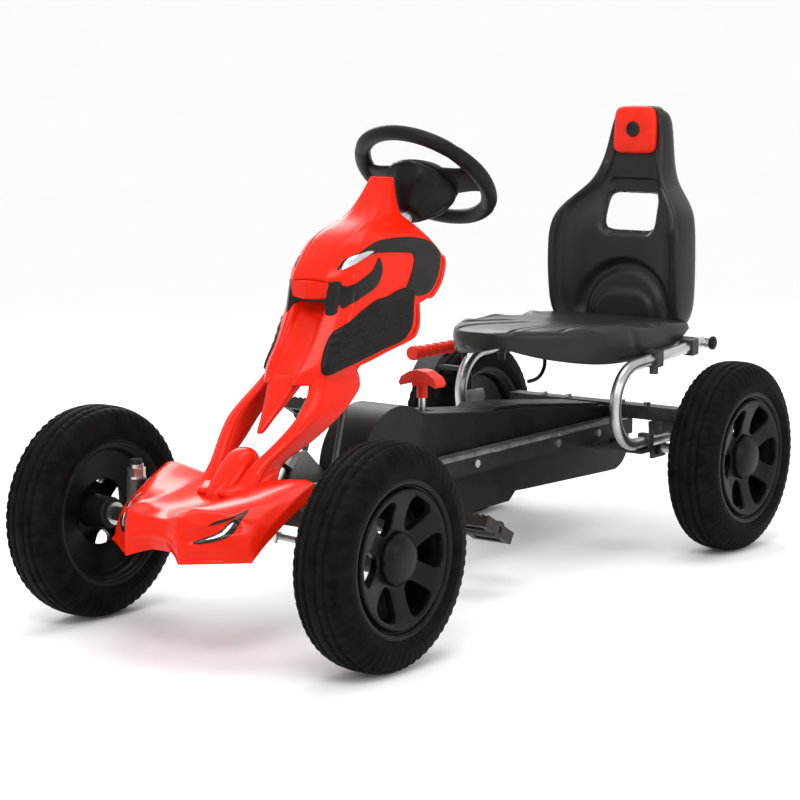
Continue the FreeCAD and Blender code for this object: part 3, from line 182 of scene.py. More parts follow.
PEDAL = add_pattern(material("pedal_plastic", (0.012, 0.009, 0.0075), 0.42, variation=0.3, scale=40, bump=0.25,
    bump_scale=1200, wear=(0.04, 0.031, 0.026), specular=0.2), "grain", 350, 0.2, 0.0004)
RUBBER = material("block_rubber", (0.012, 0.011, 0.010), 0.7, variation=0.3, scale=80, bump=0.5, bump_scale=900,
    wear=(0.06, 0.06, 0.06))
LAMP_SILVER = material("lamp_silver", (0.62, 0.63, 0.64), 0.2, metallic=0.9, coat=0.3, variation=0.15, scale=90,
    bump=0.1, wear=(0.9, 0.9, 0.9))


# ---- mesh helpers
def shown(name, verts, faces, mat, body, nodes=(), slot=None):
    """New piece from vertices in the row frame; it rides on a body and may stand for CAD nodes."""
    mesh = bpy.data.meshes.new(name)
    mesh.from_pydata([tuple(v) for v in verts], [], faces)
    mesh.update()
    obj = bpy.data.objects.new(name, mesh)
    bpy.context.scene.collection.objects.link(obj)
    tidy_normals(mesh)
    mesh.shade_smooth()
    mesh.materials.append(mat)
    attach(obj, body)
    if nodes:
        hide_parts(*nodes)
    return obj


def tidy_normals(mesh):
    """Doubled points merged and every face turned outwards."""
    bm = bmesh.new()
    bm.from_mesh(mesh)
    bmesh.ops.remove_doubles(bm, verts=bm.verts, dist=0.00001)
    bmesh.ops.recalc_face_normals(bm, faces=bm.faces)
    bm.to_mesh(mesh)
    bm.free()


def bake(obj):
    """Apply every modifier."""
    graph = bpy.context.evaluated_depsgraph_get()
    mesh = bpy.data.meshes.new_from_object(obj.evaluated_get(graph))
    obj.modifiers.clear()
    obj.data = mesh
    return obj


def bevel(obj, width, segments=3, angle=30):
    """Rounded edges where the surface turns by more than the angle, not yet applied."""
    mod = obj.modifiers.new("bevel", "BEVEL")
    mod.width = width * MM
    mod.segments = segments
    mod.limit_method = "ANGLE"
    mod.angle_limit = math.radians(angle)
    mod.harden_normals = False
    return obj


def subsurf(obj, levels):
    """Subdivision, not yet applied."""
    mod = obj.modifiers.new("subsurf", "SUBSURF")
    mod.levels = levels
    mod.render_levels = levels
    return obj


def crease(obj, value, angle):
    """Give every edge sharper than angle a crease."""
    bm = bmesh.new()
    bm.from_mesh(obj.data)
    layer = bm.edges.layers.float.get("crease_edge") or bm.edges.layers.float.new("crease_edge")
    for edge in bm.edges:
        if len(edge.link_faces) == 2 and edge.calc_face_angle(0) > math.radians(angle):
            edge[layer] = value
    bm.to_mesh(obj.data)
    bm.free()
    return obj


def smoothed(obj, levels):
    """Subdivided, applied and shaded smooth."""
    subsurf(obj, levels)
    bake(obj)
    obj.data.shade_smooth()
    return obj


def solidify(obj, thickness, offset=-1.0):
    """Wall of even thickness, not yet applied."""
    mod = obj.modifiers.new("wall", "SOLIDIFY")
    mod.thickness = thickness * MM
    mod.offset = offset
    mod.use_even_offset = True
    return obj


def rings(loops, close_loop=True, cap=True):
    """Vertices and quads of successive loops with equal counts."""
    count = len(loops[0])
    verts = [v for loop in loops for v in loop]
    faces = []
    span = count if close_loop else count - 1
    for i in range(len(loops) - 1):
        for k in range(span):
            a = i * count + k
            b = i * count + (k + 1) % count
            faces.append((a, b, b + count, a + count))
    if cap and close_loop:
        faces.append(tuple(range(count)))
        faces.append(tuple(range((len(loops) - 1) * count, len(loops) * count))[::-1])
    return verts, faces


def lofted(name, loops, mat, body, nodes=(), slot=None, **options):
    """Piece through successive loops."""
    return shown(name, *rings(loops, **options), mat, body, nodes, slot)


def frame_along(direction):
    """Two directions square to a direction."""
    d = Vector(direction).normalized()
    helper = Vector((0, 0, 1)) if abs(d.z) < 0.9 else Vector((0, 1, 0))
    u = d.cross(helper).normalized()
    return d, u, d.cross(u)


def turned(name, profile, start, direction, mat, body, nodes=(), slot=None, steps=72, shape=None):
    """Round piece: profile is (distance along, radius) in mm from a start point; shape may vary the radius."""
    d, u, w = frame_along(direction)
    loops = []
    for i, (along, radius) in enumerate(profile):
        loop = []
        for k in range(steps):
            a = math.tau * k / steps
            r = radius if shape is None else shape(i, a, along, radius)
            loop.append(start + (d * along + (u * math.cos(a) + w * math.sin(a)) * r) * MM)
        loops.append(loop)
    return lofted(name, loops, mat, body, nodes, slot, cap=profile[0][1] > 0.01 and profile[-1] != profile[0])


def smooth_line(points, steps=8, closed=False):
    """Catmull-Rom line through points."""
    pts = [Vector(p) for p in points]
    n = len(pts)
    out = []
    spans = n if closed else n - 1
    for i in range(spans):
        if closed:
            p0, p1, p2, p3 = (pts[(i + j - 1) % n] for j in range(4))
        else:
            p0, p1, p2, p3 = (pts[min(max(i + j - 1, 0), n - 1)] for j in range(4))
        for s in range(steps):
            t = s / steps
            out.append(0.5 * (2 * p1 + (p2 - p0) * t + (2 * p0 - 5 * p1 + 4 * p2 - p3) * t * t
                              + (3 * p1 - p0 - 3 * p2 + p3) * t ** 3))
    if not closed:
        out.append(pts[-1].copy())
    return out


def swept(name, line, section, mat, body, nodes=(), slot=None, closed=False, first_up=(0, 0, 1)):
    """Section of (across, up) mm, or a function of the place along the line, carried along a line of points."""
    count = len(line)
    up = Vector(first_up)
    loops = []
    for i, p in enumerate(line):
        if closed:
            way = (line[(i + 1) % count] - line[i - 1]).normalized()
        else:
            way = (line[min(i + 1, count - 1)] - line[max(i - 1, 0)]).normalized()
        side = way.cross(up).normalized()
        up = side.cross(way).normalized()
        shape = section(i / max(count - 1, 1)) if callable(section) else section
        loops.append([p + (side * a + up * b) * MM for a, b in shape])
    if closed:
        loops.append(loops[0])
    return lofted(name, loops, mat, body, nodes, slot, cap=not closed)


def circle(radius, steps=24):
    return [(radius * math.cos(math.tau * k / steps), radius * math.sin(math.tau * k / steps)) for k in range(steps)]


def bake_smooth(obj):
    """Applied, with normals weighted by face area."""
    bake(obj)
    obj.data.shade_smooth()
    mod = obj.modifiers.new("normals", "WEIGHTED_NORMAL")
    mod.keep_sharp = True
    return bake(obj)


def lerp(table, z):
    """Row of a table keyed by its first column, between rows."""
    if z <= table[0][0]:
        return list(table[0][1:])
    for a, b in zip(table, table[1:]):
        if z <= b[0]:
            t = (z - a[0]) / (b[0] - a[0])
            return [p + (q - p) * t for p, q in zip(a[1:], b[1:])]
    return list(table[-1][1:])


def within(p, loop):
    """Whether a flat point lies inside a closed outline."""
    hit = False
    for (x0, y0), (x1, y1) in zip(loop, loop[1:] + loop[:1]):
        if (y0 > p[1]) != (y1 > p[1]) and p[0] < (x1 - x0) * (p[1] - y0) / (y1 - y0) + x0:
            hit = not hit
    return hit


def step(a, b, x):
    """Smooth rise from 0 at a to 1 at b."""
    t = min(max((x - a) / (b - a), 0), 1)
    return t * t * (3 - 2 * t)


def side_name(side):
    return "left" if side > 0 else "right"


def mirrored(points):
    return [Vector((-p.x, p.y, p.z)) for p in points]


# ---- wheels
SHOULDER = 64                                # cross ribs round the tyre
# Half of the tyre's outline: distance from the middle plane and radius.
TYRE_HALF = [(0, 150), (6, 150), (7.2, 147.6), (9.6, 147.6), (10.8, 149.8), (18, 148.8), (19.2, 146.2), (21.6, 145.8),
             (22.8, 147.4), (28, 144.8), (32, 140.9), (35.5, 135.4), (38.2, 129), (40.4, 122.5), (41.6, 117.5),
             (42, 115.5), (41.2, 114.4), (41.4, 112.6), (40.4, 109.2), (37.5, 104.6), (35.2, 102.6), (34.8, 100.2)]


def tyre(name, body):
    """Tyre with ribs round the tread and blocks on its shoulders."""
    lo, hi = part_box(name)
    centre = (lo + hi) / 2
    profile = [(-x, r) for x, r in reversed(TYRE_HALF)] + list(TYRE_HALF[1:])
    profile += [(30, 99.6), (-30, 99.6), profile[0]]

    def ribs(i, a, along, r):
        x = abs(along)
        if 22.5 < x < 40.5 and r > 112:
            wave = math.sin(a * SHOULDER + (0.9 if along > 0 else 0) + (x - 22) * 0.16)
            return r + (0.75 if wave > 0 else -0.75) * min((x - 22) / 4, 1)
        if 10 < x < 19 and r > 140:
            return r + (-1.3 if math.sin(a * SHOULDER * 0.5 + along * 0.32) > 0.86 else 0)
        return r
    return turned("tread_" + name[5:], profile, centre, (1, 0, 0), TYRE, body, [name], "tyre", 384, ribs)


WINDOW_IN = 41.0
WINDOW_OUT = 84.0


def dish(r):
    """Outward bulge of the spoked disc at a radius."""
    return lerp([(24, 15), (36, 17.5), (46, 17.5), (60, 20.5), (74, 25.5), (84, 29), (92, 31)], r)[0]


def squared(angle, power):
    """Point of a rounded square of half width 1 at an angle; a lower power gives tighter corners."""
    across, up = math.cos(angle), math.sin(angle)
    return math.copysign(abs(across) ** power, across), math.copysign(abs(up) ** power, up)


def rim(name, body, out):
    """Six-spoke moulded wheel with rounded windows and a domed middle."""
    lo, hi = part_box("tyre_" + name)
    c = (lo + hi) / 2
    windows = []
    for i in range(6):
        loop = []
        for k in range(28):
            along, across = squared(math.tau * k / 28, 0.62)
            r = (WINDOW_IN + WINDOW_OUT) / 2 + along * (WINDOW_OUT - WINDOW_IN) / 2
            a = math.tau * i / 6 + math.radians(12.5 + 4.0 * (along + 1)) * across
            loop.append((r * math.cos(a), r * math.sin(a)))
        windows.append(loop)
    flat = []
    edges = []
    for loop in [circle(92, 120), circle(22, 60)] + windows:
        first = len(flat)
        flat += [Vector(p) for p in loop]
        edges += [(first + k, first + (k + 1) % len(loop)) for k in range(len(loop))]
    for radius, count in ((29, 48), (36, 48), (44, 60), (52, 72), (60, 84), (68, 84), (76, 96), (87.5, 120)):
        for p in circle(radius, count):
            if all(math.dist(p, q) > 2.6 for loop in windows for q in loop):
                flat.append(Vector(p))
    points, _, tris, _, _, _ = delaunay_2d_cdt(flat, edges, [], 0, 0.001)
    faces = []
    for tri in tris:
        middle = sum((points[i] for i in tri), Vector((0, 0))) / len(tri)
        if middle.length < 22 or middle.length > 92 or any(within(middle, loop) for loop in windows):
            continue
        faces.append(tuple(tri))
    verts = []
    for p in points:
        crown = 2.4 * step(36, 50, p.length) * step(90, 80, p.length) * abs(math.sin(3 * math.atan2(p.y, p.x)))
        verts.append(Vector((c.x + out * (dish(p.length) + crown) * MM, c.y + p.x * MM, c.z + p.y * MM)))
    disc = shown("spokes_" + name, verts, faces, RIM, body, ["rim_" + name], "black_trim")
    mod = disc.modifiers.new("wall", "SOLIDIFY")
    mod.thickness = 13 * MM
    mod.offset = 0
    bake(disc)
    bevel(disc, 2.6, 4, 50)
    bake(disc)
    disc.data.shade_smooth()
    barrel = [(37, 99.5), (36.6, 104.5), (34.6, 106), (33, 104.4), (32.4, 99), (31, 92), (26, 88), (-8, 88),
              (-10, 86), (-10.5, 48), (-12, 46), (-13.5, 48), (-14, 86), (-16, 88), (-20, 88), (-31, 92),
              (-32.4, 99), (-34.6, 105), (-37, 104), (-36, 97), (-24, 93), (24, 93.5), (35, 96.5), (37, 99.5)]
    turned("barrel_" + name, barrel, c, (out, 0, 0), RIM, body, (), "black_trim", 144)
    hub = [(-34, 9), (-34, 21), (-30, 22.5), (12, 24), (18, 31), (26, 34.5), (29, 34.5), (31, 32.5), (32.5, 30.5),
           (35.5, 28), (38.5, 23), (40.2, 16), (41, 8), (41.2, 0.02)]

    def flutes(i, a, along, r):
        return r - (1.1 if 18 < along < 30 and math.cos(a * 6) > 0.75 else 0)
    turned("hub_" + name, hub, c, (out, 0, 0), BLACK_SATIN, body, ["hub_cap_" + name], "black_trim", 96, flutes)


for spot, body in (("front_left", "front_left_wheel"), ("front_right", "front_right_wheel"),
                   ("rear_left", "drive_axle"), ("rear_right", "rear_right_wheel")):
    tyre("tyre_" + spot, body)
    rim(spot, body, 1 if "left" in spot else -1)


# ---- seat
# Height, half width, Y of the rim, Y behind, depth of the hollow in front.
BACK = [
    (334, 112, 969, 1012, 34), (345, 120, 963, 1019, 38), (362, 125, 958, 1023, 42), (385, 127, 955, 1025, 45),
    (430, 128, 952, 1025, 49), (470, 127, 952, 1026, 50), (490, 126, 954, 1027, 50), (512, 122, 960, 1031, 48),
    (530, 112, 971, 1039, 43), (549, 93, 985, 1050, 35), (568, 73, 1000, 1060, 26), (590, 63, 1010, 1067, 17),
    (612, 57, 1018, 1072, 12), (645, 52, 1026, 1077, 10), (672, 48, 1030, 1078, 9), (685, 41, 1035, 1074, 8),
    (690, 29, 1042, 1068, 5)]
BACK_COUNT = 24                              # points in each loop of the seat's back
HOLE_ROWS = range(6, 9)


def back_loop(row):
    z, half, lip, rear, hollow = row
    front = lip + hollow
    c1 = min(23, half * 0.32)
    c2 = min(47, half * 0.64)
    right = [(0, front), (c1, front), (c2, front - 1), (c2 + (half - 17 - c2) * 0.55, front - hollow * 0.16),
             (half - 17, lip + hollow * 0.42), (half - 11, lip + 5), (half - 5, lip), (half + 1, lip + 5),
             (half + 5, rear - 19), (half - 7, rear - 2), (c2, rear), (c1, rear), (0, rear)]
    left = [(-x, y) for x, y in reversed(right[1:-1])]
    return [pt(x, y, z) for x, y in right + left]


def seat_back():
    """Bucket back with a hand hole; the relief of its front is pushed into the smooth mesh."""
    verts, faces = rings([back_loop(row) for row in BACK])
    count = BACK_COUNT
    gone = set()
    for i in HOLE_ROWS:
        for k in (22, 23, 0, 1):
            gone.add((i * count + k, i * count + (k + 1) % count))
            r = (12 - k) % count
            gone.add((i * count + (r - 1) % count, i * count + r))
    faces = [f for f in faces if len(f) > 4 or (f[0], f[1]) not in gone]
    border = [(6, k % count) for k in range(22, 27)] + [(i, 2) for i in (7, 8, 9)]
    border += [(9, k % count) for k in (25, 24, 23, 22)] + [(i, 22) for i in (8, 7)]
    for (i, k), (j, m) in zip(border, border[1:] + border[:1]):
        faces.append((i * count + k, j * count + m, j * count + (12 - m) % count, i * count + (12 - k) % count))
    back = shown("seat_back", verts, faces, SEAT, "seat", ["seat_shell"], "seat_plastic")
    smoothed(back, 3)
    for v in back.data.vertices:
        x, y, z = v.co.x / MM, (v.co.y - FRONT_Y) / MM, v.co.z / MM
        half, lip, rear, hollow = lerp(BACK, z)
        facing = step(0.15, 0.6, -v.normal.y) * (1 - step(lip + hollow * 0.3, lip - 2, y)) * (1 if y < rear - 6 else 0)
        if facing <= 0:
            continue
        push = 0.0
        ring_r = math.hypot(x / 93, (z - 352) / 91)
        push += 10.0 * step(0.15, 0.04, abs(ring_r - 0.87)) * step(330, 366, z)
        pad = (abs(x) / 57) ** 3.4 + (max(z - 322, 0) / 68) ** 3.4
        push -= 8.0 * step(1.12, 0.86, pad)
        pocket = max(abs(x) - 34, 0) ** 2 + max(abs(z - 528) - 34, 0) ** 2
        push += 6.0 * step(230, 90, pocket) * step(600, 566, z)
        crest = abs(abs(x) - (66 + 36 * step(600, 510, z)) * min(half / 126 + 0.3, 1)) if z < 600 else 99
        push -= 2.4 * step(7, 0, crest) * step(360, 400, z)
        v.co.y += push * facing * MM


# Y and half width of the seat's base.
BASE_PLAN = [(572, 10), (574, 28), (579, 42), (589, 56), (614, 76), (646, 97), (684, 116), (725, 128), (770, 133),
             (820, 136), (870, 137), (915, 137), (945, 137), (982, 134), (1006, 125)]
# Y, height of the middle, of the rim and of the skirt's lower edge.
BASE_HEIGHT = [(570, 362, 356, 341), (590, 366, 361, 334), (620, 367, 362, 322), (670, 364, 359, 311),
               (720, 361, 358, 304), (755, 359, 359, 301), (800, 356, 358, 300), (850, 353, 353, 301),
               (875, 352, 349, 303), (912, 351, 353, 306), (945, 350, 350, 311), (968, 350, 348, 326),
               (1006, 349, 346, 333)]


def seat_base():
    """Spade-shaped cushion moulding with a rolled edge and a deep skirt, open underneath."""
    loops = []
    for y, half in BASE_PLAN:
        top, edge, low = lerp(BASE_HEIGHT, y)
        deep = edge - low
        right = [(0, top), (half * 0.30, top - 0.5), (half * 0.58, top - 0.5), (half * 0.80, (top + edge) / 2 + 1.5),
                 (half * 0.92, edge + 2.5), (half * 0.985, edge - 2), (half + 0.5, edge - 12),
                 (half - 0.5, edge - deep * 0.6), (half * 0.985 - 1, low + 4), (half * 0.965 - 2, low),
                 (half * 0.93 - 4, low + 2), (half * 0.90 - 3, low + 12), (half * 0.6, edge - 22),
                 (half * 0.3, edge - 22), (0, edge - 22)]
        left = [(-x, z) for x, z in reversed(right[1:-1])]
        loops.append([pt(x, y, z) for x, z in right + left])
    base = lofted("seat_base", loops, SEAT, "seat", (), "seat_plastic")
    smoothed(base, 3)
    for v in base.data.vertices:
        x, y, z = abs(v.co.x) / MM, (v.co.y - FRONT_Y) / MM, v.co.z / MM
        half = lerp(BASE_PLAN, y)[0]
        top, edge, low = lerp(BASE_HEIGHT, y)
        if z < edge - 6 and x > half * 0.9 and abs(v.normal.x) > 0.5:
            crumple = math.exp(-((y - 800 - (edge - z) * 0.5) / 7) ** 2) * step(low + 6, low + 20, z)
            v.co.x -= math.copysign(1.8 * crumple * MM, v.co.x)
            continue
        if v.normal.z < 0.35 or z < edge - 14:
            continue
        facing = step(0.35, 0.75, v.normal.z)
        push = 0.0
        for start, end, first, last in ((50, 27, 578, 776), (98, 66, 652, 792)):
            line = start + (end - start) * (y - first) / (last - first)
            fade = step(first, first + 22, y) * step(last, last - 34, y)
            push -= 3.4 * step(4.4, 0.8, abs(x - line)) * fade
            push += 1.2 * step(11, 4, abs(x - line - 8)) * fade
        rim_line = abs(x - half * 0.86)
        push -= 2.0 * step(5, 1, rim_line) * step(700, 740, y) * step(850, 830, y)
        fold = math.hypot((x - half * 0.90) / 15, (y - 878) / 12)
        push -= 8.0 * step(1, 0.2, fold)
        for height, middle, length in ((3.4, 908, 13), (4.0, 700, 20), (3.0, 796, 24)):
            push += height * math.exp(-((y - middle) / length) ** 2) * step(0.72, 0.95, x / half)
        bowl = math.hypot(x / 78, (y - 850) / 100)
        push -= 3.0 * step(1, 0.3, bowl)
        v.co.z += push * facing * MM


def headrest():
    """Red pad with a round stud, set in a raised surround."""
    lo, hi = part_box("headrest_pad")
    c = (lo + hi) / 2
    h = (hi.z - lo.z) / 2 / MM - 2
    loops = []
    for depth, grow in ((13, 0.93), (8, 0.985), (1, 1.0), (-3, 0.97), (-5.5, 0.88), (-6.6, 0.62), (-7, 0.25)):
        loop = []
        for k in range(32):
            sx, sz = squared(math.tau * k / 32, 0.34)
            w = 42.5 - 4.5 * (sz * 0.5 + 0.5)
            up = h * grow * sz - 2.5
            loop.append(Vector((c.x + sx * w * grow * MM, lo.y + (17 + depth + (up + h) * 0.04) * MM, c.z + up * MM)))
        loops.append(loop)
    pad = lofted("headrest_cushion", loops, RED_SOFT, "seat", ["headrest_pad"], "bright_red")
    smoothed(pad, 2)
    spot = Vector((c.x, lo.y + 11.6 * MM, c.z - 1 * MM))
    stud = [(0, 12.6), (1.2, 12.8), (2.4, 12.0), (2.8, 10.2), (2.0, 9.0), (1.7, 7), (2.6, 5), (3.0, 0.02)]
    turned("headrest_stud", stud, spot, (0, -1, 0.04), BLACK_GLOSS, "seat", ["headrest_button"],
           "black_trim", 48)
    loops = []
    for depth, grow in ((34, 1.12), (18, 1.12), (14, 1.10), (12.5, 1.05), (16, 1.0)):
        loop = []
        for k in range(40):
            sx, sz = squared(math.tau * k / 40, 0.36)
            w = 42.5 - 4.5 * (sz * 0.5 + 0.5)
            up = h * (grow if sz < 0 else 1.02) * sz - 3.5
            loop.append(Vector((c.x + sx * w * grow * MM, lo.y + (9 + depth) * MM, c.z + up * MM)))
        loops.append(loop)
    smoothed(lofted("headrest_surround", loops, SEAT, "seat", (), "seat_plastic", cap=False), 2)


seat_back()
seat_base()
headrest()

# ---- steering wheel
joint = {j["name"]: j for j in frame["joints"]}
HUB = Vector(joint["steering_turn"]["pos_m"])
AXIS = Vector(joint["steering_turn"]["axis"]).normalized()
UP = Vector((0, -AXIS.z, AXIS.y))


def on_wheel(x, up, out):
    """Point from millimetres across, up and out of the steering wheel's plane."""
    return HUB + Vector((1, 0, 0)) * x * MM + UP * up * MM + AXIS * out * MM


def steering():
    """Steering wheel: gripped rim, two spokes, fluted bell behind and a domed pad."""
    steps = 96
    line = []
    for k in range(steps):
        a = math.tau * k / steps
        r = 101 - 7.0 * max(-math.sin(a), 0) ** 3
        line.append(on_wheel(math.cos(a) * r, math.sin(a) * r, 0))

    def grip(k, j):
        a = math.tau * k / steps
        b = math.tau * j / 20
        fat = 12.2 + 1.1 * math.exp(-((math.sin(a) - 0.15) / 0.28) ** 2)
        notch = 0.9 if min(abs(abs(math.sin(a)) - 0.62), 1) < 0.02 else 0
        bump = 0.7 * math.cos(9 * b) * (1 if abs(math.sin(a)) < 0.5 else 0)
        return (fat - notch + bump * 0.4) * math.cos(b), (fat - 1.4 - notch) * math.sin(b)
    loops = []
    for k, p in enumerate(line):
        out = (p - HUB).normalized()
        loops.append([p + (out * grip(k, j)[0] + AXIS * grip(k, j)[1]) * MM for j in range(20)])
    loops.append(loops[0])
    smoothed(lofted("wheel_rim", loops, BLACK_SATIN, "steering", ["steering_wheel"], "black_plastic", cap=False), 1)
    for side in (-1, 1):
        rows = [(26, 30, -13, -3), (44, 29, -13, -3), (62, 26, -12, -2), (78, 24, -10, 0), (90, 28, -8, 3),
                (99, 36, -6, 5)]
        loops = []
        for x, half, low, high in rows:
            loop = [(half, low + 2), (half, high - 2), (half * 0.8, high + 1.5), (half * 0.55, high - 2), (0, high - 3),
                    (-half * 0.55, high - 2), (-half * 0.8, high + 1.5), (-half, high - 2), (-half, low + 2),
                    (-half * 0.6, low), (0, low), (half * 0.6, low)]
            loops.append([on_wheel(side * x, u + 3, o) for u, o in loop])
        spoke = lofted("wheel_spoke_" + side_name(side), loops, BLACK_SATIN, "steering", (), "black_plastic")
        smoothed(spoke, 2)
    cover = [(-71.5, 14.5), (-71.5, 18), (-66, 24), (-58, 31), (-46, 41), (-34, 48.5), (-24, 52), (-17, 53.5),
             (-13, 53.5), (-11, 51), (-10, 44)]

    def flute(i, a, along, r):
        depth = 2.2 * step(-70, -50, along) * step(-16, -28, along)
        return r - depth * (0.5 + 0.5 * math.cos(a * 9))
    turned("wheel_bell", cover, HUB, AXIS, BLACK_SATIN, "steering", ["steering_wheel_cover"], "black_trim", 144, flute)
    pad = [(-9, 52), (-6, 52), (-1, 49), (2, 43), (5, 33), (7.2, 20), (8, 0.02)]

    def cushion(i, a, along, r):
        return r * (1 + 0.10 * math.cos(2 * a)) - (1.3 if i == 3 else 0)
    turned("wheel_pad", pad, HUB, AXIS, BLACK_GLOSS, "steering", (), "black_trim", 96, cushion)


steering()

# ---- fairing
# Height, front Y, rear Y, front half width, side half width, front chamfer, channel depth, half opening behind.
COWL = [
    (338, 103, 206, 24, 50, 28, 7, 40), (352, 111, 210, 27, 53, 26, 10, 42), (362, 119, 222, 29, 55, 24, 12, 44),
    (372, 127, 270, 30, 56, 24, 13, 45), (386, 138, 332, 30.5, 57, 24, 14, 46), (400, 147, 341.5, 31, 57.5, 23, 15, 46),
    (418, 158, 343, 32, 57.5, 22, 20, 46), (432, 166, 345, 32.5, 57.5, 22, 25, 46),
    (440, 170, 374, 32.5, 57.5, 22, 27, 46),
    (456, 175, 396, 32, 56.5, 22, 27, 45), (470, 177, 405, 31, 55.5, 22, 16, 44),
    (478, 171, 410, 28, 54.5, 25, 1, 42), (492, 180, 414, 28, 53, 21, -1.5, 40),
    (506, 193, 405, 29, 50, 19, -2.5, 30), (521, 208, 388, 30, 46, 15, -3, 16),
    (534, 226, 374, 31.5, 41, 12, -2.5, 8), (545, 254, 361, 27.5, 33, 10, -2, 5), (556, 284, 348, 23, 26, 7, -1.5, 4),
    (572, 301, 344, 19.5, 22.5, 5, -1, 4), (590, 316, 342, 16.5, 19.5, 4, -1, 3), (604, 326, 341, 14, 17, 3, -0.5, 3),
    (610, 330, 340.5, 12, 15, 2.5, 0, 3)]


def cowl_loop(row):
    z, front, rear, wf, ws, chamfer, dip, gap = row
    turn_in = min(2, (ws - wf) * 0.3)
    depth = rear - front - chamfer
    corner = front + chamfer
    right = [(0, front + dip), (wf * 0.45, front + dip * 0.96), (wf * 0.78, front + dip * 0.62),
             (wf - 2.5, front + 0.8), (wf, front), (wf + turn_in, front + min(1.6, chamfer * 0.3)),
             (wf + (ws - wf) * 0.55, front + chamfer * 0.52), (ws - turn_in, corner - min(1, chamfer * 0.1)),
             (ws, corner + min(3, depth * 0.12)),
             (ws + 0.6, corner + depth * 0.35), (ws + 0.6, corner + depth * 0.62), (ws, rear - min(9, depth * 0.25)),
             (ws - 2, rear - min(3, depth * 0.1)), (ws - min(7, ws * 0.3), rear), (min(gap, ws * 0.5), rear + 0.4)]
    return [pt(-x, y, z) for x, y in reversed(right[1:])] + [pt(x, y, z) for x, y in right]


def red_piece(name, loops, levels, sharp, angle):
    """Smooth red moulding on the chassis, creased along its edges."""
    return smoothed(crease(lofted(name, loops, RED, "chassis", (), "bright_red"), sharp, angle), levels)


def surface_tree(obj):
    """Surface of a piece, for other pieces to be laid onto."""
    return bvhtree.BVHTree.FromPolygons([v.co.copy() for v in obj.data.vertices],
                                        [tuple(p.vertices) for p in obj.data.polygons])


def cowl():
    """Front fairing, open behind; returns its surface for the trim to lie on."""
    shell = lofted("cowl", [cowl_loop(r) for r in COWL], RED, "chassis", ["fairing_cowl"], "bright_red",
                   close_loop=False)
    crease(shell, 0.45, 26)
    subsurf(shell, 2)
    solidify(shell, 2.6, 1.0)
    bake(shell)
    shell.data.shade_smooth()
    return surface_tree(shell)


def inside_grid(outline, pitch):
    """Points of a grid that lie inside an outline and not too near its border."""
    xs = [p[0] for p in outline]
    ys = [p[1] for p in outline]
    found = []
    rows = int((max(ys) - min(ys)) / pitch)
    for i in range(1, rows + 1):
        y = min(ys) + i * pitch
        shift = pitch / 2 * (i % 2)
        for k in range(int((max(xs) - min(xs)) / pitch) + 1):
            x = min(xs) + k * pitch + shift
            near = False
            for (x0, y0), (x1, y1) in zip(outline, outline[1:] + outline[:1]):
                span = (x1 - x0) ** 2 + (y1 - y0) ** 2 or 1
                t = min(max(((x - x0) * (x1 - x0) + (y - y0) * (y1 - y0)) / span, 0), 1)
                if math.hypot(x - x0 - t * (x1 - x0), y - y0 - t * (y1 - y0)) < pitch * 0.45:
                    near = True
            if not near and within((x, y), outline):
                found.append((x, y))
    return found


def inlay(name, outline, origin, u, v, out, tree, mat, proud, depth, pitch, nodes=(), slot=None, relief=None,
          rounding=1.0):
    """Inlaid piece on the chassis with its outline in a plane, laid onto a surface behind that plane."""
    curve = [(p.x, p.y) for p in smooth_line([(a, b, 0) for a, b in outline], 5, True)]
    border = len(curve)
    inner = inside_grid(curve, pitch)
    flat = [Vector(p) for p in curve + inner]
    edges = [(k, (k + 1) % border) for k in range(border)]
    points, _, tris, _, _, _ = delaunay_2d_cdt(flat, edges, [], 1, 0.001)
    verts = []
    for p in points:
        start = origin + (u * p.x + v * p.y) * MM + out * 0.12
        spot, normal, _, _ = tree.ray_cast(start, -out)
        if spot is None:
            spot, normal, _, _ = tree.find_nearest(start - out * 0.12)
        lift = proud + (relief(p.x, p.y) if relief else 0)
        verts.append(spot + out * lift * MM)
    faces = [tuple(f) for f in tris]
    mesh = bpy.data.meshes.new(name)
    mesh.from_pydata(verts, [], faces)
    bm = bmesh.new()
    bm.from_mesh(mesh)
    bm.normal_update()
    if sum(f.normal.dot(out) for f in bm.faces) < 0:
        bmesh.ops.reverse_faces(bm, faces=bm.faces)
    rim_edges = [e for e in bm.edges if e.is_boundary]
    made = bmesh.ops.extrude_edge_only(bm, edges=rim_edges)
    for item in made["geom"]:
        if isinstance(item, bmesh.types.BMVert):
            item.co -= out * depth * MM
    bmesh.ops.recalc_face_normals(bm, faces=bm.faces)
    out_verts = [tuple(x.co) for x in bm.verts]
    index = {x: i for i, x in enumerate(bm.verts)}
    out_faces = [tuple(index[x] for x in f.verts) for f in bm.faces]
    bm.free()
    obj = shown(name, out_verts, out_faces, mat, "chassis", nodes, slot)
    bevel(obj, rounding, 3, 50)
    bake(obj)
    obj.data.shade_smooth()
    return obj


